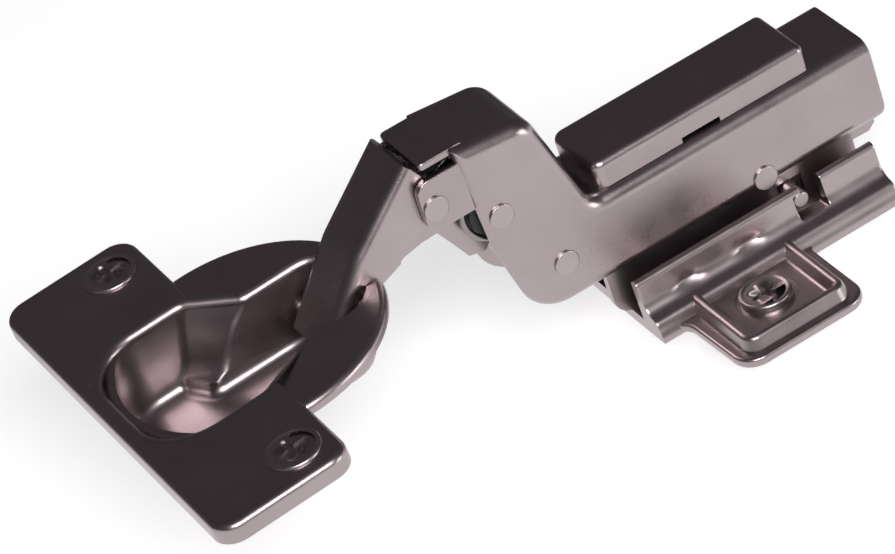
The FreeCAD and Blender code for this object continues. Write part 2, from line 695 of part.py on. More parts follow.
def make_mounting_plate():
    body = new_body("mounting_plate")
    length = rail_rear - rail_front
    profile = [(foot_half, 0), (foot_half - 0.5, rail_step - 0.3), (rail_foot_half, rail_step),
               (rail_top_half, rail_top)]
    inside = [(rail_top_half - rail_sheet, rail_top),
              (rail_foot_half - 1.6 * rail_sheet, plate_floor)]
    half = profile + inside
    block(body, "YZ_Plane", half + [(-y, z) for y, z in reversed(half)], length, shift=rail_front)
    crest = rail_top.number
    round_edges(body, rail_sheet * 0.35, lambda edge: runs_along(edge, ALONG)
                and near(edge.CenterOfMass.z, crest))
    step = rail_step.number
    round_edges(body, rail_sheet, lambda edge: runs_along(edge, ALONG)
                and near(edge.CenterOfMass.z, step) and abs(edge.CenterOfMass.y) > 9.9)
    for side in (-1, 1):
        root = side * (rail_foot_half - rail_sheet * 0.5)
        block(body, "XY_Plane", [
            (rail_front, root), (rail_front, side * foot_half),
            (wing_front - 1.0, side * (foot_half + 1.2)), (wing_front, side * (foot_half + 2.8)),
            (wing_front, side * wing_end), (wing_rear, side * wing_end),
            (wing_rear, side * (foot_half + 1.2)), (wing_rear + 1.2, side * foot_half), (wing_rear + 1.2, root),
        ], wing_lip)
        ends = (wing_front.number, wing_rear.number)
        tip = side * wing_end.number
        round_edges(body, wing_corner, lambda edge: runs_along(edge, UP)
                    and near(edge.CenterOfMass.y, tip)
                    and min(abs(edge.CenterOfMass.x - x) for x in ends) < 0.05)
        block(body, "XY_Plane", rectangle(wing_front + wing_margin, wing_rear - wing_margin, root,
                                          side * (wing_end - wing_margin)), wing_height)
        ends_in = (wing_front.number + wing_margin.number, wing_rear.number - wing_margin.number)
        tip_in = side * (wing_end.number - wing_margin.number)
        round_edges(body, tray_corner, lambda edge: runs_along(edge, UP)
                    and near(edge.CenterOfMass.y, tip_in)
                    and min(abs(edge.CenterOfMass.x - x) for x in ends_in) < 0.05)
        high = wing_height.number
        round_edges(body, wing_margin * 0.6, lambda edge: near(edge.BoundBox.ZMin, high)
                    and near(edge.BoundBox.ZMax, high) and side * edge.CenterOfMass.y > 12.5)
        block(body, "XY_Plane", rectangle(
            wing_front + wing_margin + tray_border, wing_rear - wing_margin - tray_border,
            side * (foot_half + 0.6), side * (wing_end - wing_margin - tray_border)),
            tray_depth, shift=wing_height, kind="Pocket")
    for side in (-1, 1):
        seat = [(0, side * screw_pitch / 2)]
        disc(body, "XY_Plane", seat, plate_hole_radius, wing_height + 1, shift=wing_height, kind="Pocket")
        disc(body, "XY_Plane", seat, plate_head_radius + 0.6, tray_depth + 0.4, shift=wing_height,
             kind="Pocket")
    # the catch pin's notches, open at the rear under a lip at the front
    left = catch[0] - catch_radius - 0.15
    block(body, "XZ_Plane", [
        (left, rail_top - notch_depth), (left + notch_reach + catch_radius, rail_top - notch_depth),
        (left + notch_reach + catch_radius, rail_top + 1), (left + catch_radius, rail_top + 1),
        (left + catch_radius, rail_top - notch_lip), (left, rail_top - notch_lip),
    ], 2 * foot_half, both_sides=True, kind="Pocket")
    return body


def make_cross_screws(body, spots, head_radius, head_low, head_high, neck_radius, neck_low, shank_radius,
                      shank_low):
    """Equal screws along Z in one body, each with a cross recess and a neck in its hole."""
    disc(body, "XY_Plane", spots, head_radius, head_high - head_low, shift=head_low)
    high = head_high.number
    round_edges(body, (head_high - head_low) * 0.3, on_level(high))
    disc(body, "XY_Plane", spots, neck_radius, head_low - neck_low, shift=neck_low)
    disc(body, "XY_Plane", spots, shank_radius, neck_low - shank_low, shift=shank_low)
    arm = cross_reach
    thin = cross_reach * 0.3
    for across, up in spots:
        sketch_points = [
            (across - arm, up - thin), (across - thin, up - thin), (across - thin, up - arm),
            (across + thin, up - arm), (across + thin, up - thin), (across + arm, up - thin),
            (across + arm, up + thin), (across + thin, up + thin), (across + thin, up + arm),
            (across - thin, up + arm), (across - thin, up + thin), (across - arm, up + thin)]
        block(body, "XY_Plane", sketch_points, (head_high - head_low) * 0.9, shift=head_high, kind="Pocket")
    return body


plate_shank_low = size("plate_shank_low", -5.0)
cup_shank_low = size("cup_shank_low", -3.8)
cross_reach = size("cross_reach", 1.9)
neck_reach = size("neck_reach", 0.2)
neck_radius = size("neck_radius", 1.5)


def make_screws():
    half = screw_pitch / 2
    seat = wing_height - tray_depth - 0.4
    make_cross_screws(new_body("plate_screws"), [(as_size(0), -half), (as_size(0), half)],
                      plate_head_radius, seat, seat + 1.5, neck_radius, -neck_reach,
                      plate_hole_radius - 0.2, plate_shank_low)
    half = cup_screw_pitch / 2
    make_cross_screws(in_cup("cup_screws"), [(cup_screw_x, -half), (cup_screw_x, half)],
                      screw_head, flange_top, flange_top + head_rise, neck_radius,
                      flange_top - cup_sheet - neck_reach, screw_shank, cup_shank_low)


def make_base_clip():
    body = new_body("base_clip")
    block(body, "XZ_Plane", rectangle(clip_front, clip_rear, plate_floor, clip_top),
          2 * clip_half, both_sides=True)
    round_edges(body, clip_corner, upright_edges([(clip_front, plate_floor), (clip_rear, clip_top)]))
    round_edges(body, clip_corner * 2, upright_edges([(clip_front, clip_top)]))
    block(body, "XZ_Plane", rectangle(clip_front - 1, clip_rear + 1, plate_floor - 1, clip_top - clip_sheet),
          2 * clip_inner, both_sides=True, kind="Pocket")
    # slot for the arm's rear rivet, as long as the depth adjustment
    reach = depth_travel + pin_radius + 0.1
    block(body, "XZ_Plane", rectangle(guide_rivet[0] - reach, guide_rivet[0] + reach,
                                      guide_rivet[1] - pin_radius - running_gap,
                                      guide_rivet[1] + pin_radius + running_gap),
          2 * clip_half + 2, both_sides=True, kind="Pocket")
    # windows for the catch pin and bores for its lever's pivot
    reach = catch_radius + 0.15
    block(body, "XZ_Plane", rectangle(catch[0] - reach, catch[0] + reach + catch_radius,
                                      catch[1] - 2 * catch_radius, catch[1] + reach),
          2 * clip_half + 2, both_sides=True, kind="Pocket")
    disc(body, "XZ_Plane", [latch_pivot], latch_pin_radius, 2 * clip_half + 2,
         both_sides=True, kind="Pocket")
    # slots for the side screw's neck and the cam's pin
    neck = side_neck_radius + 0.15
    reach = depth_travel + neck
    block(body, "XY_Plane", rectangle(side_screw_x - reach, side_screw_x + reach, -neck, neck),
          3 * clip_sheet, shift=clip_top + clip_sheet, kind="Pocket")
    reach = cam_pin_radius + 0.45
    block(body, "XY_Plane", rectangle(cam_x - reach, cam_x + reach, -cam_pin_radius - 0.2,
                                      cam_throw + cam_pin_radius + 0.2),
          3 * clip_sheet, shift=clip_top + clip_sheet, kind="Pocket")
    return body


side_neck_radius = size("side_neck_radius", 1.2)
side_button_radius = size("side_button_radius", 2.0)
side_button_low = size("side_button_low", 11.5)
screw_top = size("adjuster_top", 20.9)
slot_half = size("adjuster_slot_half", 0.35)


def make_side_screw():
    body = new_body("side_adjust_screw", (side_screw_x, 0, 0))
    button_high = clip_top - clip_sheet - 0.2
    turn(body, [(0, side_button_low), (side_button_radius, side_button_low),
                (side_button_radius, button_high), (side_neck_radius, button_high),
                (side_neck_radius, clip_top + 0.6), (side_screw_radius, clip_top + 0.6),
                (side_screw_radius, screw_top), (0, screw_top)])
    block(body, "XY_Plane", rectangle(-side_screw_radius, side_screw_radius, -slot_half, slot_half),
          0.9, shift=screw_top, kind="Pocket")
    return body


def make_depth_cam():
    body = new_body("depth_cam", (cam_x, 0, 0))
    turn(body, [(0, clip_top + 0.4), (cam_radius, clip_top + 0.4), (cam_radius, arm_web_top),
                (cam_radius + 0.7, arm_web_top), (cam_radius + 0.7, screw_top), (0, screw_top)])
    disc(body, "XY_Plane", [(0, cam_throw)], cam_pin_radius, clip_sheet + 1.0,
         shift=clip_top - clip_sheet - 0.6)
    block(body, "XY_Plane", rectangle(-cam_radius, cam_radius, -slot_half, slot_half),
          0.8, shift=screw_top, kind="Pocket")
    return body


def make_damper():
    body = new_body("damper_body", (0, 0, damper_z), 90, Vector(0, 1, 0))
    bore = damper_radius - damper_wall
    turn(body, [(rod_radius + 0.1, damper_front), (damper_radius, damper_front), (damper_radius, damper_rear),
                (0, damper_rear), (0, damper_rear - damper_wall * 2), (bore, damper_rear - damper_wall * 2),
                (bore, damper_front + damper_wall * 2), (rod_radius + 0.1, damper_front + damper_wall * 2)])
    body = new_body("damper_rod", (0, 0, damper_z), 90, Vector(0, 1, 0))
    piston = damper_front + damper_wall * 2 + 0.6
    turn(body, [(0, rod_front), (rod_head_radius, rod_front), (rod_head_radius, rod_front + 1.2),
                (rod_radius, rod_front + 1.2), (rod_radius, piston), (bore - 0.1, piston),
                (bore - 0.1, piston + 1.5), (0, piston + 1.5)])


rod_head_radius = size("rod_head_radius", 1.4)


def make_cover_cap():
    body = new_body("cover_cap")
    block(body, "XY_Plane", rectangle(cap_front, cap_rear, -cap_half, cap_half),
          cap_top - arm_web_top, shift=arm_web_top)
    ends = (cap_front.number, cap_rear.number)
    round_edges(body, cap_corner, lambda edge: runs_along(edge, UP) and near(edge.CenterOfMass.x, ends[0]))
    round_edges(body, cap_wall, lambda edge: runs_along(edge, UP) and near(edge.CenterOfMass.x, ends[1]))
    round_edges(body, cap_wall * 1.2, on_level(cap_top))
    block(body, "XY_Plane", clipped_front(cap_front + cap_wall, cap_rear - cap_wall,
                                          cap_half - cap_wall, cap_corner * 0.6),
          cap_top - cap_wall - arm_web_top, shift=arm_web_top, backwards=True, kind="Pocket")
    # legs through the web
    low = arm_web_top - arm_sheet - leg_depth * 0.3
    front_leg = damper_front - window_gap * 2 - leg_thick
    for left in (front_leg, rear_leg_x):
        block(body, "XY_Plane", rectangle(left, left + leg_thick, -leg_half, leg_half),
              cap_top - cap_wall * 0.5 - low, shift=low)
    # the gap in the near foot
    block(body, "XZ_Plane", rectangle(cap_slot_left, cap_slot_left + cap_slot_length, arm_web_top - 1,
                                      arm_web_top + cap_slot_height),
          cap_wall * 2, shift=cap_half - cap_wall * 1.5, kind="Pocket", backwards=True)
    return body


cap_corner = size("cap_corner_radius", 1.6)
cap_slot_left = size("cap_slot_left", 0.0)
cap_slot_length = size("cap_slot_length", 5.5)
cap_slot_height = size("cap_slot_height", 0.7)


def clipped_front(left, right, half, clip):
    """Corners of a rectangle whose two left corners are cut off."""
    return [(left + clip, -half), (right, -half), (right, half), (left + clip, half),
            (left, half - clip), (left, clip - half)]


# Pins that join both links to the cup
cup_pin_reach = size("cup_pin_reach", 6.6)
cup_inner_reach = size("cup_inner_reach", 4.6)


def make_cross_pin(body, spot, radius, reach):
    disc(body, "XZ_Plane", [spot], radius, 2 * reach, both_sides=True)
    tip = reach.number
    round_edges(body, radius * 0.25, lambda edge: near(abs(edge.CenterOfMass.y), tip))
    return body


def make_pins():
    make_cross_pin(in_cup("cup_pin_outer"), (cup_outer_u, cup_outer_w), cup_pin_radius, cup_pin_reach)
    make_cross_pin(in_cup("cup_pin_inner"), (cup_inner_u, cup_inner_w), inner_pin_radius, cup_inner_reach)
    make_cross_pin(new_body("catch_pin"), catch, catch_radius, catch_reach)
    make_cross_pin(new_body("latch_pivot_pin"), latch_pivot, latch_pin_radius, clip_half)


catch_reach = size("catch_reach", 8.4)


def make_release_latch():
    body = new_body("release_latch")
    block(body, "XZ_Plane", [(9.6, 5.0), (10.2, 3.9), (12.6, 3.6), (14.0, 6.0), (24.6, 5.6), (25.6, 6.4),
                             (25.6, 7.4), (17.0, 8.8), (16.6, 11.6), (13.6, 12.4), (12.6, 9.5), (10.6, 7.2)],
          2 * latch_half, both_sides=True)
    gap = latch_half - latch_sheet
    web_left = latch_pivot[0] + 0.6
    web_top = catch[1] + 1.3
    block(body, "XZ_Plane", [(9, 3), (web_left, 3), (web_left, web_top), (27, web_top), (27, 13), (9, 13)],
          2 * gap, both_sides=True, kind="Pocket")
    disc(body, "XZ_Plane", [catch], catch_radius, 3 * latch_half, both_sides=True, kind="Pocket")
    disc(body, "XZ_Plane", [latch_pivot], latch_pin_radius + running_gap, 3 * latch_half, both_sides=True,
         kind="Pocket")


# The torsion spring and its sleeves round the inner link's pivot
spring_wire = size("spring_wire", 0.85)
spring_radius = size("spring_mean_radius", 3.9)
spring_inner = size("spring_inner_face", 2.95)
spring_pitch = size("spring_pitch", 0.95)
sleeve_outer = size("sleeve_outer_radius", 3.3)
spring_leg_low = size("spring_leg_low", 13.0)
latch_wire = size("latch_spring_wire", 0.5)
latch_coil = size("latch_spring_radius", 1.75)


def coil(radius, wire, pitch, turns, start):
    """A round wire wound about local Z from the given height, on the +X side."""
    helix = Part.makeHelix(pitch, pitch * turns, radius, 0, True)
    helix.translate(Vector(0, 0, start))
    ring = Part.Wire([Part.makeCircle(wire / 2, Vector(radius, 0, start), Vector(0, 1, 0))])
    return Part.Wire(helix.Edges).makePipeShell([ring], True, True)


def make_wire_part(label, shape, place, tilt=0.0, axis=ACROSS):
    wire_part = doc.addObject("Part::Feature", label)
    wire_part.Label = label
    wire_part.Shape = shape
    wire_part.Placement = Placement(place, Rotation(axis, tilt))
    pieces.append(wire_part)
    return wire_part


def make_torsion_spring():
    radius, wire, pitch = spring_radius.number, spring_wire.number, spring_pitch.number
    start = spring_inner.number + wire / 2
    drop = inner_pivot[1].number - spring_leg_low.number
    winding = coil(radius, wire, pitch, 0.9, start)
    leg = Part.makeCylinder(wire / 2, drop, Vector(radius, 0, start), Vector(0, 1, 0))
    half = winding.fuse(leg)
    whole = Part.makeCompound([half, half.mirror(Vector(0, 0, 0), UP)])
    place = Vector(inner_pivot[0].number, 0, inner_pivot[1].number)
    make_wire_part("torsion_spring", whole, place, -90, ALONG)


def make_sleeves():
    body = new_body("spring_sleeves", (inner_pivot[0], 0, inner_pivot[1]), -90, ALONG)
    tip = nose_half - nose_sheet - running_gap
    for low, high in ((-tip, -spring_inner), (spring_inner, tip)):
        disc(body, "XY_Plane", [(0, 0)], sleeve_outer, high - low, shift=low)
    disc(body, "XY_Plane", [(0, 0)], pin_radius + running_gap, 3 * arm_half, shift=-1.5 * arm_half,
         kind="Pocket", backwards=True)


def make_latch_spring():
    radius, wire = latch_coil.number, latch_wire.number
    pitch = wire * 1.4
    winding = coil(radius, wire, pitch, 3, -1.5 * pitch)
    leg = Part.makeCylinder(wire / 2, 2.4, Vector(radius, 0, -1.5 * pitch), Vector(0, -1, 0))
    place = Vector(latch_pivot[0].number, 0, latch_pivot[1].number)
    make_wire_part("latch_spring", winding.fuse(leg).removeSplitter(), place, -90, ALONG)


# Plastic bumper comb under the tab
buffer_front = size("buffer_front", -31.7)
buffer_back = size("buffer_back", -29.6)
buffer_low = size("buffer_low", 33.5)
buffer_half = size("buffer_half", 3.7)
tooth_pitch = size("tooth_pitch", 2.1)
tooth_width = size("tooth_width", 1.1)


def make_nose_buffer():
    body = new_body("nose_buffer")
    high = hump_top - arm_sheet
    block(body, "XZ_Plane", rectangle(buffer_front + 0.8, buffer_back, buffer_low, high),
          2 * buffer_half, both_sides=True)
    for step in (-1.5, -0.5, 0.5, 1.5):
        block(body, "XZ_Plane", rectangle(buffer_front, buffer_back - 1, buffer_low, high),
              tooth_width, shift=-step * tooth_pitch - tooth_width / 2)


def check_and_write():
    doc.recompute()
    for item in doc.Objects:
        if "Invalid" in item.State or "Error" in item.State:
            raise RuntimeError(f"{item.Name} failed: {item.State}")
    os.makedirs("parts", exist_ok=True)
    for piece in pieces:
        shape = piece.Shape
        if shape.isNull() or not shape.isValid():
            raise RuntimeError(f"{piece.Label} has no valid shape")
        shape.exportStep(f"parts/{piece.Label}.step")
        box = shape.BoundBox
        print(f"{piece.Label}: {len(shape.Solids)} solid, {shape.Volume:.1f} mm3, "
              f"x {box.XMin:.2f}..{box.XMax:.2f} y {box.YMin:.2f}..{box.YMax:.2f} z {box.ZMin:.2f}..{box.ZMax:.2f}")




make_hinge_arm()
make_rivet("outer_link_pin", outer_pivot, nose_half)
make_rivet("inner_link_pin", inner_pivot, arm_half)
make_rivet("front_rivet", hook_rivet, arm_half)
make_rivet("rear_rivet", guide_rivet, arm_half)
make_outer_link()
make_inner_link()
make_cup()
make_pins()
make_screws()
make_mounting_plate()
make_base_clip()
make_release_latch()
make_latch_spring()
make_side_screw()
make_depth_cam()
make_damper()
make_sleeves()
make_torsion_spring()
make_nose_buffer()
make_cover_cap()
check_and_write()
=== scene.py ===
import math

import bmesh
import bpy
from bpy.props import FloatProperty, FloatVectorProperty, PointerProperty
from mathutils import Matrix, Quaternion, Vector


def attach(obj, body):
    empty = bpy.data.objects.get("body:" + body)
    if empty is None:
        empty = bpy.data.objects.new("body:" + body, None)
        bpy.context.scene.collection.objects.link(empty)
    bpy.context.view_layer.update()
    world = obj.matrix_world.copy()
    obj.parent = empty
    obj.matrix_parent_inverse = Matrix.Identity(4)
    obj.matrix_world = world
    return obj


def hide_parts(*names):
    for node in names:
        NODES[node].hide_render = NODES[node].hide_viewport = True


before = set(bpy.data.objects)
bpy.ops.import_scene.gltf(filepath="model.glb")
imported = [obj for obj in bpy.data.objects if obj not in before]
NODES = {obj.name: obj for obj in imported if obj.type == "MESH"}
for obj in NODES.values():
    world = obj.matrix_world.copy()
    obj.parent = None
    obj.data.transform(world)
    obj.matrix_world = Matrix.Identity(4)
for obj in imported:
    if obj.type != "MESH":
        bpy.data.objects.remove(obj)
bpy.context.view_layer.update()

bl_info = {
    "name": "Concealed Cup Hinge",
    "version": (1, 0, 0),
    "blender": (4, 5, 0),
    "location": "3D View > Sidebar > Cup Hinge",
    "description": "Pressed, plated pieces of a concealed cabinet hinge, on its CAD frame",
    "category": "Object",
}

MM = 0.001

# The cup's own frame: its rim centre and its small turn about the hinge's cross axis
CUP_CENTRE = Vector((-58.0, 0.0, 23.66))
CUP_TURN = Matrix.Rotation(math.radians(-3.45), 3, "Y")


def from_cup(point):
    """Hinge millimetres of a point in the cup's own frame."""
    return CUP_CENTRE + CUP_TURN @ Vector(point)


# Outlines

def rounded(corners, inset=0.0, steps=8):
    """A closed outline of (x, y, radius) corners, moved inwards by inset; always steps points a corner."""
    count = len(corners)
    area = sum(corners[i][0] * corners[(i + 1) % count][1] - corners[(i + 1) % count][0] * corners[i][1]
               for i in range(count))
    side = 1.0 if area > 0 else -1.0
    spots = [Vector((c[0], c[1])) for c in corners]
    ways = [(spots[(i + 1) % count] - spots[i]).normalized() for i in range(count)]
    outline = []
    for i in range(count):
        before, after = ways[i - 1], ways[i]
        turn = before.x * after.y - before.y * after.x
        cosine = max(-1.0, min(1.0, before.dot(after)))
        angle = math.acos(cosine)
        normal_before = Vector((-before.y, before.x)) * side
        normal_after = Vector((-after.y, after.x)) * side
        if angle < 1e-4:
            middle = spots[i] + normal_after * inset
            outline += [middle.copy() for _ in range(steps)]
            continue
        bisector = (normal_before + normal_after).normalized()
        corner = spots[i] + bisector * (inset / max(0.05, bisector.dot(normal_after)))
        outward = 1.0 if turn * side > 0 else -1.0
        radius = max(0.02, corners[i][2] - inset * outward)
        reach = radius * math.tan(angle / 2)
        start = corner - before * reach
        centre = start + normal_before * radius * outward
        arm = start - centre
        for k in range(steps):
            swing = angle * k / (steps - 1) * (1.0 if turn > 0 else -1.0)
            c, s = math.cos(swing), math.sin(swing)
            outline.append(centre + Vector((arm.x * c - arm.y * s, arm.x * s + arm.y * c)))
    return outline


def circle(centre, radius, count=48):
    return [Vector((centre[0] + radius * math.cos(2 * math.pi * k / count),
                    centre[1] + radius * math.sin(2 * math.pi * k / count))) for k in range(count)]


def bend_steps(radius, count=7):
    """Pairs (inwards, down) round a quarter bend, from the side up to the flat."""
    return [(radius * (1 - math.cos(math.pi / 2 * k / (count - 1))),
             radius * (1 - math.sin(math.pi / 2 * k / (count - 1)))) for k in range(count)]


# Meshes

def add_loop(mesh, outline, place):
    return [mesh.verts.new(place(point)) for point in outline]


def bridge(mesh, lower, upper, closed=True):
    count = len(lower)
    for i in range(count if closed else count - 1):
        j = (i + 1) % count
        mesh.faces.new((lower[i], lower[j], upper[j], upper[i]))


def fill_between(mesh, loops):
    """Fills the flat area between an outer loop and the loops inside it."""
    edges = []
    for loop in loops:
        for i, vertex in enumerate(loop):
            other = loop[(i + 1) % len(loop)]
            edge = mesh.edges.get((vertex, other)) or mesh.edges.new((vertex, other))
            edges.append(edge)
    bmesh.ops.triangle_fill(mesh, use_beauty=True, use_dissolve=False, edges=edges)


def to_object(mesh, name, crease=32.0):
    """Closes a bmesh into an object at the origin, with normals out and smooth faces."""
    bmesh.ops.remove_doubles(mesh, verts=mesh.verts, dist=1e-7)
    bmesh.ops.recalc_face_normals(mesh, faces=mesh.faces)
    data = bpy.data.meshes.new(name)
    mesh.to_mesh(data)
    mesh.free()
    for polygon in data.polygons:
        polygon.use_smooth = True
    data.set_sharp_from_angle(angle=math.radians(crease))
    item = bpy.data.objects.new(name, data)
    bpy.context.scene.collection.objects.link(item)
    return item


def bake(item, crease=None):
    """Applies every modifier to the object's own mesh."""
    bpy.context.view_layer.update()
    depsgraph = bpy.context.evaluated_depsgraph_get()
    data = bpy.data.meshes.new_from_object(item.evaluated_get(depsgraph))
    item.modifiers.clear()
    old = item.data
    item.data = data
    data.name = item.name
    bpy.data.meshes.remove(old)
    if crease is not None:
        for polygon in data.polygons:
            polygon.use_smooth = True
        data.set_sharp_from_angle(angle=math.radians(crease))
    return item


def even_normals(item):
    """Lets large flat faces keep their own direction beside narrow bends."""
    weigh = item.modifiers.new("Even", "WEIGHTED_NORMAL")
    weigh.keep_sharp = True
    weigh.weight = 80
    return bake(item)


def dress(item, material, body, *replaced, slot="sheet"):
    """Gives a finished piece its finish and its body, and hides the CAD nodes it stands for."""
    item.data.materials.clear()
    item.data.materials.append(material)
    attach(item, body)
    if replaced:
        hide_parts(*replaced)
    return item


def prism(name, outline, low, high, place, bend=0.0, steps=5):
    """A solid between two levels of an outline of (x, y, radius) corners, its edges rounded by bend."""
    mesh = bmesh.new()
    loops = []
    turns = bend_steps(bend, steps) if bend > 0 else [(0.0, 0.0)]
    for inwards, down in reversed(turns):
        loops.append(add_loop(mesh, rounded(outline, inwards), lambda p: place(p, low + down)))
    for inwards, down in turns:
        loops.append(add_loop(mesh, rounded(outline, inwards), lambda p: place(p, high - down)))
    for lower, upper in zip(loops, loops[1:]):
        bridge(mesh, lower, upper)
    fill_between(mesh, [loops[0]])
    fill_between(mesh, [loops[-1]])
    return to_object(mesh, name)


def cut(item, tool):
    """Takes the tool away from the piece, and then the tool itself."""
    boolean = item.modifiers.new("Cut", "BOOLEAN")
    boolean.operation = "DIFFERENCE"
    boolean.solver = "EXACT"
    boolean.object = tool
    bake(item)
    data = tool.data
    bpy.data.objects.remove(tool)
    bpy.data.meshes.remove(data)
    return item


def join(first, *others):
    """Puts the meshes of several pieces into the first one."""
    mesh = bmesh.new()
    for item in (first, *others):
        mesh.from_mesh(item.data)
    mesh.to_mesh(first.data)
    mesh.free()
    for item in others:
        data = item.data
        bpy.data.objects.remove(item)
        bpy.data.meshes.remove(data)
    return first


def soften(item, width):
    """Rounds the sharp edges left by cuts; width is in millimetres."""
    bevel = item.modifiers.new("Soft edges", "BEVEL")
    bevel.width = width * MM
    bevel.segments = 3
    bevel.limit_method = "ANGLE"
    bevel.angle_limit = math.radians(30.0)
    bevel.use_clamp_overlap = True
    return bake(item, crease=40.0)


def flat_place(point, level):
    """Outline across the hinge's X and Y, level along Z."""
    return Vector((point.x, point.y, level)) * MM


def cup_place(point, level):
    return from_cup((point.x, point.y, level)) * MM


def side_place(point, level):
    """Outline in the hinge's X and Z, level along Y."""
    return Vector((point.x, level, point.y)) * MM


# Finishes

def node_material(name):
    material = bpy.data.materials.new(name)
    material.use_nodes = True
    tree = material.node_tree
    tree.nodes.clear()
    output = tree.nodes.new("ShaderNodeOutputMaterial")
    shader = tree.nodes.new("ShaderNodeBsdfPrincipled")
    tree.links.new(shader.outputs["BSDF"], output.inputs["Surface"])
    coords = tree.nodes.new("ShaderNodeTexCoord")
    return material, tree, shader, coords


def add_noise(tree, coords, scale, detail=3.0, stretch=(1, 1, 1)):
    mapping = tree.nodes.new("ShaderNodeMapping")
    mapping.inputs["Scale"].default_value = stretch
    tree.links.new(coords.outputs["Object"], mapping.inputs["Vector"])
    noise = tree.nodes.new("ShaderNodeTexNoise")
    noise.inputs["Scale"].default_value = scale
    noise.inputs["Detail"].default_value = detail
    tree.links.new(mapping.outputs["Vector"], noise.inputs["Vector"])
    return noise


def ramp(tree, source, low, high, start, end):
    """A colour ramp from low to high colours over a stretch of a texture's value."""
    node = tree.nodes.new("ShaderNodeValToRGB")
    node.color_ramp.elements[0].position = start
    node.color_ramp.elements[0].color = (*low, 1.0)
    node.color_ramp.elements[1].position = end
    node.color_ramp.elements[1].color = (*high, 1.0)
    tree.links.new(source, node.inputs["Fac"])
    return node


def spread(tree, source, low, high):
    """Maps a texture's value to a number between low and high."""
    node = tree.nodes.new("ShaderNodeMapRange")
    node.inputs["From Min"].default_value = 0.3
    node.inputs["From Max"].default_value = 0.7
    node.inputs["To Min"].default_value = low
    node.inputs["To Max"].default_value = high
    tree.links.new(source, node.inputs["Value"])
    return node


def plated_steel(name, colour, rough, grain=0.05, brushed=0.0):
    """Black nickel over pressed steel: cloudy plating, fine grain and, where asked, drawn lines."""
    material, tree, shader, coords = node_material(name)
    shader.inputs["Metallic"].default_value = 1.0
    clouds = add_noise(tree, coords, 90.0, 4.0)
    dark = tuple(c * 0.94 for c in colour)
    light = tuple(min(1.0, c * 1.05) for c in colour)
    tint = ramp(tree, clouds.outputs["Fac"], dark, light, 0.32, 0.68)
    tree.links.new(tint.outputs["Color"], shader.inputs["Base Color"])
    smudge = add_noise(tree, coords, 240.0, 5.0)
    gloss = spread(tree, smudge.outputs["Fac"], rough - 0.025, rough + 0.035)
    tree.links.new(gloss.outputs["Result"], shader.inputs["Roughness"])
    fine = add_noise(tree, coords, 5200.0, 2.0)
    bump = tree.nodes.new("ShaderNodeBump")
    bump.inputs["Strength"].default_value = grain
    bump.inputs["Distance"].default_value = 0.00004
    tree.links.new(fine.outputs["Fac"], bump.inputs["Height"])
    last = bump
    if brushed > 0:
        lines = add_noise(tree, coords, 2600.0, 2.0, (1.0, 1.0, 0.03))
        second = tree.nodes.new("ShaderNodeBump")
        second.inputs["Strength"].default_value = brushed
        second.inputs["Distance"].default_value = 0.00004
        tree.links.new(lines.outputs["Fac"], second.inputs["Height"])
        tree.links.new(bump.outputs["Normal"], second.inputs["Normal"])
        last = second
    tree.links.new(last.outputs["Normal"], shader.inputs["Normal"])
    return material


def moulded_plastic(name, colour):
    material, tree, shader, coords = node_material(name)
    speckle = add_noise(tree, coords, 1500.0, 3.0)
    tint = ramp(tree, speckle.outputs["Fac"], tuple(c * 0.8 for c in colour), tuple(c * 1.3 for c in colour),
                0.3, 0.7)
    tree.links.new(tint.outputs["Color"], shader.inputs["Base Color"])
    gloss = spread(tree, speckle.outputs["Fac"], 0.42, 0.55)
    tree.links.new(gloss.outputs["Result"], shader.inputs["Roughness"])
    bump = tree.nodes.new("ShaderNodeBump")
    bump.inputs["Strength"].default_value = 0.15
    bump.inputs["Distance"].default_value = 0.00005
    tree.links.new(speckle.outputs["Fac"], bump.inputs["Height"])
    tree.links.new(bump.outputs["Normal"], shader.inputs["Normal"])
    return material


class HingeFinish(bpy.types.PropertyGroup):
    """Colours of the plated steel and the plastic."""
    nickel: FloatVectorProperty(name="Black nickel", description="Plating on the pressed pieces", size=3,
                                subtype="COLOR", default=(0.42, 0.355, 0.365), min=0.0, max=1.0)
    pin: FloatVectorProperty(name="Pins", description="Turned pins and rivets", size=3,
                             subtype="COLOR", default=(0.45, 0.39, 0.40), min=0.0, max=1.0)
    wire: FloatVectorProperty(name="Spring wire", description="Oiled spring wire", size=3,
                              subtype="COLOR", default=(0.30, 0.28, 0.27), min=0.0, max=1.0)
    plastic: FloatVectorProperty(name="Plastic", description="Moulded sleeves, damper and buffer", size=3,
                                 subtype="COLOR", default=(0.012, 0.011, 0.012), min=0.0, max=1.0)
    roughness: FloatProperty(name="Roughness", description="Satin of the plating", default=0.30,
                             min=0.05, max=0.8, subtype="FACTOR")


def finish(name):
    """One of the hinge's shared materials, made when first asked for."""
    made = bpy.data.materials.get(name)
    if made:
        return made
    look = bpy.context.scene.hinge_finish
    rough = look.roughness
    makers = {
        "black_nickel": lambda: plated_steel(name, tuple(look.nickel), rough),
        "black_nickel_drawn": lambda: plated_steel(name, tuple(look.nickel), rough - 0.02, 0.04, 0.10),
        "turned_pin": lambda: plated_steel(name, tuple(look.pin), rough + 0.02, 0.05),
        "spring_wire": lambda: plated_steel(name, tuple(look.wire), rough - 0.04, 0.03),
        "black_plastic": lambda: moulded_plastic(name, tuple(look.plastic)),
    }
    return makers[name]()


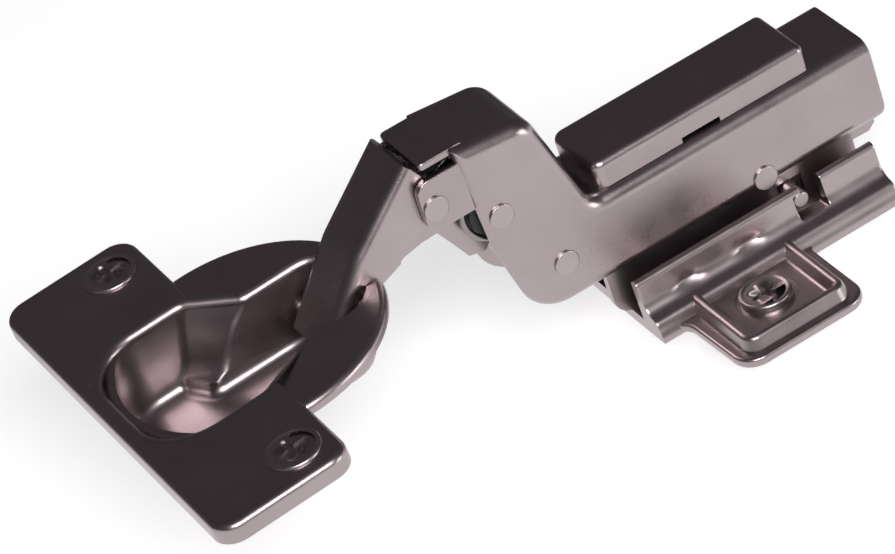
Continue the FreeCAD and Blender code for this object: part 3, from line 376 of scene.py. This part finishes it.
CARRIED = {
    "black_nickel": ["base_clip", "release_latch", "depth_cam", "side_adjust_screw"],
    "black_nickel_drawn": ["hinge_arm", "outer_link", "inner_link", "hinge_cup", "mounting_plate",
                           "cover_cap"],
    "turned_pin": ["outer_link_pin", "inner_link_pin", "front_rivet", "rear_rivet", "cup_pin_outer",
                   "cup_pin_inner", "catch_pin", "latch_pivot_pin", "damper_rod", "plate_screws",
                   "cup_screws"],
    "spring_wire": ["torsion_spring", "latch_spring"],
    "black_plastic": ["spring_sleeves", "nose_buffer", "damper_body"],
}


class HINGE_OT_carried(bpy.types.Operator):
    """Gives the CAD pieces that are shown as they are their finishes"""
    bl_idname = "hinge.carried"
    bl_label = "Finish carried-over pieces"

    def execute(self, context):
        for name, nodes in CARRIED.items():
            for node in nodes:
                data = NODES[node].data
                data.materials.clear()
                data.materials.append(finish(name))
        return {"FINISHED"}


# Cup

MOUTH = [(-16.75, -11.3, 6.9), (-3.0, -11.2, 2.6), (3.4, -6.7, 2.6), (14.7, -6.5, 4.2), (14.7, 6.5, 4.2),
         (3.4, 6.7, 2.6), (-3.0, 11.2, 2.6), (-16.75, 11.3, 6.9)]
POT_FLOOR = [(-16.2, -10.8, 6.0), (-6.6, -10.6, 1.6), (-4.2, -6.0, 1.8), (12.6, -5.6, 3.4),
             (12.6, 5.6, 3.4), (-4.2, 6.0, 1.8), (-6.6, 10.6, 1.6), (-16.2, 10.8, 6.0)]
FLANGE = [(-19.2, -29.57, 3.0), (-1.0, -29.57, 3.0), (-1.0, 29.57, 3.0), (-19.2, 29.57, 3.0)]
FLANGE_MOUTH = [(-18.05, -12.6, 8.1), (-3.0, -12.5, 2.0), (6.0, -6.0, 1.0), (6.0, 6.0, 1.0),
                (-3.0, 12.5, 2.0), (-18.05, 12.6, 8.1)]
FLANGE_TOP = 0.87
FLANGE_LOW = -1.73
FLANGE_SHEET = 1.0
FLANGE_BEND = 0.95
RIM_RADIUS = 17.5
RIM_LOW = -1.45
RIM_SHEET = 1.0
RIM_BEND = 0.9
RIM_GAP = 17.6
POT_DEPTH = 9.6
POT_BEND = 1.6
MOUTH_ROLL = 1.15
MOUTH_PROUD = 0.012
RIM_SEAM = 0.7
NOTCH_START = 12.6
STEP_START = -1.6
STEP_LENGTH = 1.2


def plate_level(point):
    """Height of the plate beside the pot: the flange, a short slope, then the lower rim."""
    share = max(0.0, min(1.0, (point.x - STEP_START) / STEP_LENGTH))
    share = share * share * (3 - 2 * share)
    return FLANGE_TOP * (1 - share) + MOUTH_PROUD


def blend_corners(share):
    return [tuple(a + (b - a) * share for a, b in zip(mouth, low)) for mouth, low in zip(MOUTH, POT_FLOOR)]


def ray_length(outline, angle):
    """How far the outline is from the centre along a direction."""
    way = Vector((math.cos(angle), math.sin(angle)))
    best = 0.0
    for i, a in enumerate(outline):
        b = outline[(i + 1) % len(outline)]
        edge = b - a
        bottom = way.x * edge.y - way.y * edge.x
        if abs(bottom) < 1e-9:
            continue
        along = (a.x * edge.y - a.y * edge.x) / bottom
        share = (a.x * way.y - a.y * way.x) / bottom
        if along > 0 and -1e-6 <= share <= 1 + 1e-6:
            best = max(best, along)
    return best


def make_pot(mesh, wall, notch_half, notch_depth):
    """The drawn pot: a rolled mouth, sloping walls with two slanted steps, a rounded floor."""
    def place(level):
        def at(point):
            height = level(point)
            if point.x > NOTCH_START and abs(point.y) < notch_half:
                height = min(height, -notch_depth)
            return from_cup((point.x, point.y, height)) * MM
        return at
    loops = [add_loop(mesh, rounded(MOUTH, -MOUTH_ROLL - 0.2), place(plate_level))]
    for inwards, down in bend_steps(MOUTH_ROLL, 8)[::-1]:
        loops.append(add_loop(mesh, rounded(MOUTH, -inwards), place(lambda p, d=down: plate_level(p) - d)))
    for share in (0.25, 0.45, 0.62, 0.78):
        loops.append(add_loop(mesh, rounded(blend_corners(share)), place(lambda p, s=share: -POT_DEPTH * s)))
    for inwards, down in bend_steps(POT_BEND, 6):
        loops.append(add_loop(mesh, rounded(POT_FLOOR, inwards), place(lambda p, d=down: -POT_DEPTH + d)))
    for upper, lower in zip(loops, loops[1:]):
        bridge(mesh, upper, lower)
    fill_between(mesh, [loops[-1]])
    outside = [add_loop(mesh, rounded(MOUTH, -wall), place(lambda p: -0.25))]
    for share in (0.5, 0.8):
        outside.append(add_loop(mesh, rounded(blend_corners(share), -wall),
                                place(lambda p, s=share: -POT_DEPTH * s)))
    for inwards, down in bend_steps(POT_BEND + wall, 6):
        outside.append(add_loop(mesh, rounded(POT_FLOOR, inwards - wall),
                                place(lambda p, d=down: -POT_DEPTH - wall + d)))
    for upper, lower in zip(outside, outside[1:]):
        bridge(mesh, lower, upper)
    fill_between(mesh, [outside[-1]])


def make_rim(mesh, steps=150):
    """The round rim, a ring with a rounded edge and a short skirt, open where the links pass."""
    start, end = math.radians(RIM_GAP), math.radians(360 - RIM_GAP)
    inner = rounded(MOUTH, -RIM_SEAM)
    sections = []
    for k in range(steps + 1):
        angle = start + (end - start) * k / steps
        near_edge = min(RIM_RADIUS - 1.4, ray_length(inner, angle))
        profile = [(near_edge, 0.0)]
        profile += [(RIM_RADIUS - inwards, -down) for inwards, down in bend_steps(RIM_BEND, 6)[::-1]]
        profile += [(RIM_RADIUS, RIM_LOW), (RIM_RADIUS - RIM_SHEET, RIM_LOW),
                    (RIM_RADIUS - RIM_SHEET, -RIM_SHEET), (near_edge, -RIM_SHEET)]
        sections.append([mesh.verts.new(from_cup((r * math.cos(angle), r * math.sin(angle), w)) * MM)
                         for r, w in profile])
    for left, right in zip(sections, sections[1:]):
        bridge(mesh, left, right)
    mesh.faces.new(sections[0])
    mesh.faces.new(sections[-1][::-1])


def make_flange(mesh):
    """The screw flange: a plate round the pot with its outer edge folded down."""
    steps = 14
    curve = rounded(FLANGE_MOUTH, steps=steps)
    mouth = curve[2 * steps - 1::-1] + curve[:4 * steps - 1:-1]
    slant_start, slant_end = FLANGE_MOUTH[4], FLANGE_MOUTH[3]
    slope = (slant_end[1] - slant_start[1]) / (slant_end[0] - slant_start[0])

    def flange_outline(inwards):
        edge = rounded(FLANGE, inwards)
        side = FLANGE[1][0] - inwards
        end = slant_start[1] + (side - slant_start[0]) * slope
        return edge[:16] + [Vector((side, -end))] + mouth + [Vector((side, end))] + edge[16:]

    loops = []
    for inwards, down in [(0.0, FLANGE_TOP - FLANGE_LOW)] + bend_steps(FLANGE_BEND, 7):
        loops.append(add_loop(mesh, flange_outline(inwards), lambda p, d=down: cup_place(p, FLANGE_TOP - d)))
    for lower, upper in zip(loops, loops[1:]):
        bridge(mesh, lower, upper)
    fill_between(mesh, [loops[-1]])
    inside = [add_loop(mesh, flange_outline(FLANGE_SHEET), lambda p, w=w: cup_place(p, w))
              for w in (FLANGE_LOW, FLANGE_TOP - FLANGE_SHEET)]
    bridge(mesh, inside[0], inside[1])
    bridge(mesh, loops[0], inside[0])
    fill_between(mesh, [inside[-1]])


class HingeCup(bpy.types.PropertyGroup):
    """Sizes of the cup that a user may change a little."""
    wall: FloatProperty(name="Wall", description="Thickness of the pot's wall in millimetres", default=1.0,
                        min=0.6, max=1.2)
    notch_half: FloatProperty(name="Notch half width", description="Half the width of the links' way out, mm",
                              default=5.2, min=4.8, max=5.6)
    notch_depth: FloatProperty(name="Notch depth", description="Depth of the links' way out, mm", default=5.3,
                               min=4.8, max=6.0)


class HINGE_OT_cup(bpy.types.Operator):
    """Makes the pressed cup: pot, round rim and screw flange"""
    bl_idname = "hinge.cup"
    bl_label = "Cup"

    def execute(self, context):
        sizes = context.scene.hinge_cup
        mesh = bmesh.new()
        make_pot(mesh, sizes.wall, sizes.notch_half, sizes.notch_depth)
        make_rim(mesh)
        make_flange(mesh)
        cup = even_normals(to_object(mesh, "cup_pressing", 40.0))
        dress(cup, finish("black_nickel"), "cup", "hinge_cup")
        return {"FINISHED"}


# Mounting plate

RAIL_HALF = [(12.0, 0.0), (12.0, 0.75), (11.8, 1.1), (11.6, 1.7), (11.45, 2.3), (11.2, 2.7), (10.8, 2.92),
             (10.3, 3.05), (9.85, 3.3), (9.5, 3.65), (9.25, 4.0), (9.08, 4.4), (8.96, 4.8), (8.88, 5.3),
             (8.82, 5.9), (8.78, 6.4), (8.75, 6.8), (8.7, 7.07), (8.54, 7.3), (8.32, 7.45), (8.05, 7.5),
             (7.78, 7.45), (7.56, 7.3), (7.4, 7.07), (7.35, 6.8), (7.6, 3.6), (7.76, 1.6)]
RAIL_FRONT = -12.7
RAIL_LENGTH = 35.0
RAIL_REACH = 12.6
DENTS = (-6.2, 2.7)
DENT_REACH = 2.9
DENT_LEVEL = 4.4
DENT_DEPTH = 0.42
CATCH_NOTCH = [(10.05, 3.4, 0.5), (14.25, 3.4, 0.5), (14.25, 8.5, 0.1), (11.15, 8.5, 0.1),
               (11.15, 6.7, 0.2), (10.05, 6.7, 0.3)]
WING_LIP = [(-12.3, 8.2, 0.3), (-12.3, 11.3, 0.6), (-9.3, 11.7, 2.3), (-8.9, 25.2, 3.0), (9.1, 25.2, 3.0),
            (9.1, 11.6, 1.3), (12.0, 11.1, 0.2), (12.0, 8.2, 0.2)]
BEAD = [(-7.6, 8.2, 0.3), (-7.6, 23.9, 2.2), (7.8, 23.9, 2.2), (7.8, 8.2, 0.3)]
BEAD_STEPS = [(-0.15, 1.1), (0.0, 1.3), (0.4, 2.6), (0.62, 2.9), (0.9, 3.0), (1.2, 3.0), (1.45, 2.88),
              (1.65, 2.6), (2.0, 1.72), (2.2, 1.55), (2.5, 1.5)]
PLATE_SCREW_SPOT = 16.0
LIP_HEIGHT = 1.3
SEAT_STEPS = [(3.95, 1.5), (3.75, 1.25), (3.5, 1.16), (2.0, 1.14)]


def pressed_in(x, z):
    """Depth of the long dents in the rail's side."""
    depth = 0.0
    for middle in DENTS:
        away = ((x - middle) / DENT_REACH) ** 2 + (z - DENT_LEVEL) ** 2
        if away < 1:
            depth += DENT_DEPTH * (1 - away) ** 2
    return depth


def make_rail(name, count=90):
    """The rail, one section carried along the hinge, with a dented hollow side."""
    mesh = bmesh.new()
    sections = []
    for k in range(count + 1):
        x = RAIL_FRONT + RAIL_LENGTH * k / count
        half = [(y - (pressed_in(x, z) if y > 8.8 else 0.0), z) for y, z in RAIL_HALF]
        ring = [(-y, z) for y, z in half] + half[::-1]
        sections.append([mesh.verts.new(Vector((x, y, z)) * MM) for y, z in ring])
    for back, front in zip(sections, sections[1:]):
        bridge(mesh, back, front)
    mesh.faces.new(sections[0])
    mesh.faces.new(sections[-1][::-1])
    return to_object(mesh, name)


def make_wing(name, side):
    """One wing: a flat lip and a raised frame round the screw's tray."""
    lip = prism(name + "_lip", [(x, side * y, r) for x, y, r in WING_LIP], 0.0, LIP_HEIGHT,
                flat_place, 0.4)
    mesh = bmesh.new()
    frame_corners = [(x, side * y, r) for x, y, r in BEAD]
    loops = [add_loop(mesh, rounded(frame_corners, inwards), lambda p, z=z: flat_place(p, z))
             for inwards, z in BEAD_STEPS]
    seat = [add_loop(mesh, circle((0, side * PLATE_SCREW_SPOT), r), lambda p, z=z: flat_place(p, z))
            for r, z in SEAT_STEPS]
    for rings in (loops, seat):
        for outer, inner in zip(rings, rings[1:]):
            bridge(mesh, outer, inner)
    fill_between(mesh, [loops[-1], seat[0]])
    fill_between(mesh, [seat[-1]])
    fill_between(mesh, [loops[0]])
    return [lip, to_object(mesh, name + "_frame", 40.0)]


class HINGE_OT_plate(bpy.types.Operator):
    """Makes the mounting plate: dented rail, stepped foot and two framed wings"""
    bl_idname = "hinge.plate"
    bl_label = "Mounting plate"

    def execute(self, context):
        notch = prism("notch", CATCH_NOTCH, -RAIL_REACH, RAIL_REACH, side_place)
        rail = cut(make_rail("plate_pressing"), notch)
        wings = make_wing("near_wing", -1) + make_wing("far_wing", 1)
        plate = even_normals(join(soften(rail, 0.2), *wings))
        dress(plate, finish("black_nickel"), "mounting_base", "mounting_plate")
        return {"FINISHED"}


# Arm

ARM_HALF = 6.5
ARM_SHEET = 1.1
HUMP_TOP = 35.9
WEB_SPAN = (17.0, 21.0)
ARM_SIDE = [(-28.5, HUMP_TOP, 0.4), (-18.0, 34.8, 3.4), (-13.6, 19.6, 2.0), (29.0, 19.6, 0.1),
            (29.0, 8.1, 0.1), (-24.5, 8.1, 6.0), (-27.4, 20.0, 6.0)]
ARM_HOLLOW = [(-30.5, 34.8, 0.1), (-18.6, 33.7, 2.2), (-15.0, 18.5, 3.1), (30.0, 18.5, 0.1),
              (30.0, 6.6, 0.1), (-30.5, 6.6, 0.1)]
ARM_END = [(26.2, 22.0, 0.1), (31.0, 22.0, 0.1), (31.0, 5.0, 0.1), (23.8, 5.0, 0.1), (23.8, 8.1, 0.1),
           (26.2, 8.1, 2.2)]
ARM_OPENINGS = [
    [(-12.0, -2.35, 0.3), (2.3, -2.35, 0.3), (2.3, 2.35, 0.3), (-12.0, 2.35, 0.3)],
    [(4.55, -2.45, 2.4), (9.45, -2.45, 2.4), (9.45, 2.45, 2.4), (4.55, 2.45, 2.4)],
    [(11.15, -2.35, 2.3), (15.85, -2.35, 2.3), (15.85, 2.35, 2.3), (11.15, 2.35, 2.3)],
    [(16.7, -1.9, 0.2), (18.1, -1.9, 0.2), (18.1, 1.9, 0.2), (16.7, 1.9, 0.2)],
]
NOSE_FACE = 5.75
NOSE_SHEET = 1.0
NOSE = [(-34.0, 26.9, 1.8), (-27.6, 26.9, 0.2), (-27.6, 34.0, 0.2), (-34.0, 34.0, 1.8)]
TAB = [(-32.5, -4.9, 0.7), (-26.5, -4.9, 0.1), (-26.5, 4.9, 0.1), (-32.5, 4.9, 0.7)]


class HingeArm(bpy.types.PropertyGroup):
    """Bend of the arm's channel."""
    bend: FloatProperty(name="Bend", description="Radius of the arm's long bends in millimetres", default=1.9,
                        min=1.3, max=2.4)


class HINGE_OT_arm(bpy.types.Operator):
    """Makes the arm: a bent channel with its hump, nose plates and front tab"""
    bl_idname = "hinge.arm"
    bl_label = "Arm"

    def execute(self, context):
        bend = context.scene.hinge_arm.bend
        inside = ARM_HALF - ARM_SHEET
        arm = prism("arm_pressing", ARM_SIDE, -ARM_HALF, ARM_HALF, side_place, bend, 7)
        cut(arm, prism("hollow", ARM_HOLLOW, -inside, inside, side_place, bend - ARM_SHEET))
        cut(arm, prism("end", ARM_END, -ARM_HALF - 1.0, ARM_HALF + 1.0, side_place))
        for outline in ARM_OPENINGS:
            cut(arm, prism("opening", outline, *WEB_SPAN, flat_place))
        pieces = [prism("nose", NOSE, low, low + NOSE_SHEET, side_place, 0.18)
                  for low in (-NOSE_FACE, NOSE_FACE - NOSE_SHEET)]
        pieces.append(prism("tab", TAB, HUMP_TOP - ARM_SHEET, HUMP_TOP, flat_place, 0.3))
        arm = even_normals(join(soften(arm, 0.12), *pieces))
        dress(arm, finish("black_nickel_drawn"), "arm", "hinge_arm")
        return {"FINISHED"}


# Screws

# Head radius, head rise, shank radius and shank end above the seat
CUP_SCREW = (3.5, 0.42, 2.1, -4.67)
PLATE_SCREW = (3.3, 1.3, 2.0, -6.1)
CUP_SCREW_SPOT = (-6.0, 24.0)
PLATE_SEAT = 1.2
HEAD_DISH = 0.14
CROSS_SPIN = 12.0
CROSS_TAPER = 0.55
CROSS_DEPTH = 1.5


def cross_outline(reach, half, notch):
    """A cross recess with four arms and small nicks between them."""
    points = []
    for quarter in range(4):
        turn = Matrix.Rotation(math.radians(90 * quarter), 2)
        for x, y in ((half, -half), (reach * 0.9, -half * 0.8), (reach, 0.0), (reach * 0.9, half * 0.8),
                     (half, half), (half + notch, half + notch)):
            points.append(turn @ Vector((x, y)))
    return points


def screw_mesh(name, head, rise, shank, low, place):
    """One recessed screw about its own axis: ringed head, cross recess, waist and plain shank."""
    mesh = bmesh.new()
    waist = shank * 0.75
    top = rise - HEAD_DISH
    profile = [(shank, low), (shank, -1.3), (waist, -1.3), (waist, -0.05), (head, -0.05), (head, rise - 0.28),
               (head - 0.1, rise - 0.1), (head - 0.25, rise), (head - 0.42, rise), (head - 0.55, rise - 0.09),
               (head - 0.7, top)]
    rings = [add_loop(mesh, circle((0, 0), r), lambda p, w=w: place((p.x, p.y, w))) for r, w in profile]
    for lower, upper in zip(rings, rings[1:]):
        bridge(mesh, lower, upper)
    fill_between(mesh, [rings[0]])
    spin = Matrix.Rotation(math.radians(CROSS_SPIN), 2)
    outline = [spin @ p for p in cross_outline(head * 0.63, head * 0.13, head * 0.12)]
    mouth = add_loop(mesh, outline, lambda p: place((p.x, p.y, top)))
    fill_between(mesh, [rings[-1], mouth])
    floor = add_loop(mesh, [p * CROSS_TAPER for p in outline], lambda p: place((p.x, p.y, top - CROSS_DEPTH)))
    bridge(mesh, mouth, floor)
    fill_between(mesh, [floor])
    return to_object(mesh, name, 35.0)


def repeat_tree():
    """Geometry Nodes that repeats a piece in a straight row."""
    made = bpy.data.node_groups.get("repeat_in_row")
    if made:
        return made
    tree = bpy.data.node_groups.new("repeat_in_row", "GeometryNodeTree")
    face = tree.interface
    face.new_socket("Geometry", in_out="INPUT", socket_type="NodeSocketGeometry")
    face.new_socket("Count", in_out="INPUT", socket_type="NodeSocketInt")
    face.new_socket("Step", in_out="INPUT", socket_type="NodeSocketVector")
    face.new_socket("Finish", in_out="INPUT", socket_type="NodeSocketMaterial")
    face.new_socket("Geometry", in_out="OUTPUT", socket_type="NodeSocketGeometry")
    start = tree.nodes.new("NodeGroupInput")
    end = tree.nodes.new("NodeGroupOutput")
    row = tree.nodes.new("GeometryNodeMeshLine")
    row.mode = "OFFSET"
    copies = tree.nodes.new("GeometryNodeInstanceOnPoints")
    real = tree.nodes.new("GeometryNodeRealizeInstances")
    paint = tree.nodes.new("GeometryNodeSetMaterial")
    link = tree.links.new
    link(start.outputs["Count"], row.inputs["Count"])
    link(start.outputs["Step"], row.inputs["Offset"])
    link(row.outputs["Mesh"], copies.inputs["Points"])
    link(start.outputs["Geometry"], copies.inputs["Instance"])
    link(copies.outputs["Instances"], real.inputs["Geometry"])
    link(real.outputs["Geometry"], paint.inputs["Geometry"])
    link(start.outputs["Finish"], paint.inputs["Material"])
    link(paint.outputs["Geometry"], end.inputs["Geometry"])
    return tree


def repeat(item, count, step, material):
    """Repeats an object's mesh in a row, as one plain mesh."""
    tree = repeat_tree()
    modifier = item.modifiers.new("Row", "NODES")
    modifier.node_group = tree
    values = {"Count": count, "Step": tuple(c * MM for c in step), "Finish": material}
    for socket in tree.interface.items_tree:
        if socket.item_type == "SOCKET" and socket.in_out == "INPUT" and socket.name in values:
            modifier[socket.identifier] = values[socket.name]
    return bake(item)


class HINGE_OT_screws(bpy.types.Operator):
    """Makes the cup's and the plate's screws"""
    bl_idname = "hinge.screws"
    bl_label = "Screws"

    def execute(self, context):
        metal = finish("turned_pin")
        along, across = CUP_SCREW_SPOT
        cup = screw_mesh("cup_screw_pair", *CUP_SCREW,
                         lambda p: from_cup((p[0] + along, p[1] - across, p[2] + FLANGE_TOP)) * MM)
        dress(repeat(cup, 2, (0, 2 * across, 0), metal), metal, "cup", "cup_screws", slot="screws")
        plate = screw_mesh("plate_screw_pair", *PLATE_SCREW,
                           lambda p: Vector((p[0], p[1] - PLATE_SCREW_SPOT, p[2] + PLATE_SEAT)) * MM)
        dress(repeat(plate, 2, (0, 2 * PLATE_SCREW_SPOT, 0), metal), metal, "mounting_base", "plate_screws",
              slot="screws")
        return {"FINISHED"}


# Stage

CAMERA_PLACE = Vector((-0.191206, -0.474675, 0.372414))
CAMERA_TURN = Quaternion((0.8404926, 0.4584211, 0.0032426, -0.2888111))
CAMERA_LENS = 207.748


class HingeStage(bpy.types.PropertyGroup):
    """Light and floor of the studio."""
    key: FloatProperty(name="Key light", description="Power of the soft box above the camera",
                       default=5.5, min=0.0, unit="POWER")
    fill: FloatProperty(name="Fill light", description="Power of the soft box at the right",
                        default=1.2, min=0.0, unit="POWER")
    floor: FloatProperty(name="Floor level", description="Height of the floor", default=-0.0056,
                         subtype="DISTANCE", unit="LENGTH")
    sky: FloatVectorProperty(name="Studio ceiling", description="Colour above the horizon", size=3,
                             subtype="COLOR", default=(0.07, 0.065, 0.069), min=0.0, max=1.0)


def soft_box(name, place, target, size, power):
    light = bpy.data.lights.new(name, "AREA")
    light.shape = "RECTANGLE"
    light.size, light.size_y = size
    light.energy = power
    lamp = bpy.data.objects.new(name, light)
    lamp.location = place
    lamp.rotation_euler = (Vector(target) - Vector(place)).to_track_quat("-Z", "Y").to_euler()
    bpy.context.scene.collection.objects.link(lamp)
    return lamp


def make_world(ceiling):
    """White behind the object; reflections see a dim ceiling over a pale horizon."""
    world = bpy.data.worlds.new("Studio")
    bpy.context.scene.world = world
    world.use_nodes = True
    tree = world.node_tree
    tree.nodes.clear()
    output = tree.nodes.new("ShaderNodeOutputWorld")
    coords = tree.nodes.new("ShaderNodeTexCoord")
    split = tree.nodes.new("ShaderNodeSeparateXYZ")
    tree.links.new(coords.outputs["Generated"], split.inputs["Vector"])
    height = tree.nodes.new("ShaderNodeValToRGB")
    points = height.color_ramp.elements
    points[0].position = 0.0
    points[0].color = (0.16, 0.155, 0.16, 1)
    points[1].position = 0.22
    points[1].color = (*ceiling, 1)
    middle = points.new(0.08)
    middle.color = (0.10, 0.098, 0.10, 1)
    tree.links.new(split.outputs["Z"], height.inputs["Fac"])
    dome = tree.nodes.new("ShaderNodeBackground")
    tree.links.new(height.outputs["Color"], dome.inputs["Color"])
    white = tree.nodes.new("ShaderNodeBackground")
    white.inputs["Color"].default_value = (1, 1, 1, 1)
    path = tree.nodes.new("ShaderNodeLightPath")
    mix = tree.nodes.new("ShaderNodeMixShader")
    tree.links.new(path.outputs["Is Camera Ray"], mix.inputs["Fac"])
    tree.links.new(dome.outputs["Background"], mix.inputs[1])
    tree.links.new(white.outputs["Background"], mix.inputs[2])
    tree.links.new(mix.outputs["Shader"], output.inputs["Surface"])


def make_floor(level):
    mesh = bmesh.new()
    corners = [mesh.verts.new((x, y, level)) for x, y in ((-3, -3), (3, -3), (3, 3), (-3, 3))]
    mesh.faces.new(corners)
    floor = to_object(mesh, "floor")
    material, tree, shader, coords = node_material("pale_floor")
    dust = add_noise(tree, coords, 3.0, 2.0)
    tint = ramp(tree, dust.outputs["Fac"], (0.86, 0.855, 0.86), (0.88, 0.875, 0.88), 0.3, 0.7)
    tree.links.new(tint.outputs["Color"], shader.inputs["Base Color"])
    shader.inputs["Roughness"].default_value = 0.9
    glow = tree.nodes.new("ShaderNodeEmission")
    glow.inputs["Strength"].default_value = 0.62
    path = tree.nodes.new("ShaderNodeLightPath")
    table = tree.nodes.new("ShaderNodeEmission")
    split = tree.nodes.new("ShaderNodeSeparateXYZ")
    fade = tree.nodes.new("ShaderNodeMapRange")
    fade.interpolation_type = "SMOOTHSTEP"
    for socket, value in (("From Min", 0.03), ("From Max", 0.14), ("To Min", 1.0), ("To Max", 0.03)):
        fade.inputs[socket].default_value = value
    choose = tree.nodes.new("ShaderNodeMixShader")
    both = tree.nodes.new("ShaderNodeAddShader")
    output = next(node for node in tree.nodes if node.type == "OUTPUT_MATERIAL")
    tree.links.new(shader.outputs["BSDF"], both.inputs[0])
    tree.links.new(glow.outputs["Emission"], both.inputs[1])
    tree.links.new(coords.outputs["Object"], split.inputs["Vector"])
    tree.links.new(split.outputs["Y"], fade.inputs["Value"])
    tree.links.new(fade.outputs["Result"], table.inputs["Strength"])
    tree.links.new(path.outputs["Is Camera Ray"], choose.inputs["Fac"])
    tree.links.new(table.outputs["Emission"], choose.inputs[1])
    tree.links.new(both.outputs["Shader"], choose.inputs[2])
    tree.links.new(choose.outputs["Shader"], output.inputs["Surface"])
    floor.data.materials.append(material)


class HINGE_OT_stage(bpy.types.Operator):
    """Sets up the floor, the soft light and the camera"""
    bl_idname = "hinge.stage"
    bl_label = "Stage"

    def execute(self, context):
        scene = context.scene
        stage = scene.hinge_stage
        scene.view_settings.view_transform = "Standard"
        make_world(tuple(stage.sky))
        make_floor(stage.floor)
        aim = (-0.02, 0, 0.015)
        soft_box("key", (-0.16, -0.62, 0.55), aim, (0.5, 0.35), stage.key)
        soft_box("fill", (0.55, -0.55, 0.12), aim, (0.35, 0.25), stage.fill)
        camera_data = bpy.data.cameras.new("camera")
        camera_data.sensor_width = 36.0
        camera_data.lens = CAMERA_LENS
        camera_data.clip_start = 0.01
        camera = bpy.data.objects.new("camera", camera_data)
        camera.matrix_world = Matrix.LocRotScale(CAMERA_PLACE, CAMERA_TURN, None)
        scene.collection.objects.link(camera)
        scene.camera = camera
        return {"FINISHED"}


class HINGE_PT_panel(bpy.types.Panel):
    """Lists the hinge's pieces and finishes"""
    bl_label = "Cup Hinge"
    bl_idname = "HINGE_PT_panel"
    bl_space_type = "VIEW_3D"
    bl_region_type = "UI"
    bl_category = "Cup Hinge"

    def draw(self, context):
        layout = self.layout
        scene = context.scene
        for group in (getattr(scene, name) for name in GROUPS):
            box = layout.box()
            for name in group.__annotations__:
                box.prop(group, name)
        for operator in OPERATORS:
            layout.operator(operator.bl_idname)


OPERATORS = [HINGE_OT_carried, HINGE_OT_cup, HINGE_OT_plate, HINGE_OT_arm, HINGE_OT_screws, HINGE_OT_stage]
GROUPS = {"hinge_finish": HingeFinish, "hinge_cup": HingeCup, "hinge_arm": HingeArm,
          "hinge_stage": HingeStage}


def register():
    for name, group in GROUPS.items():
        bpy.utils.register_class(group)
        setattr(bpy.types.Scene, name, PointerProperty(type=group))
    for operator in OPERATORS:
        bpy.utils.register_class(operator)
    bpy.utils.register_class(HINGE_PT_panel)


def unregister():
    bpy.utils.unregister_class(HINGE_PT_panel)
    for operator in reversed(OPERATORS):
        bpy.utils.unregister_class(operator)
    for name, group in GROUPS.items():
        delattr(bpy.types.Scene, name)
        bpy.utils.unregister_class(group)


def main():
    register()
    for operator in OPERATORS:
        area, action = operator.bl_idname.split(".")
        getattr(getattr(bpy.ops, area), action)()


if __name__ == "__main__":
    main()
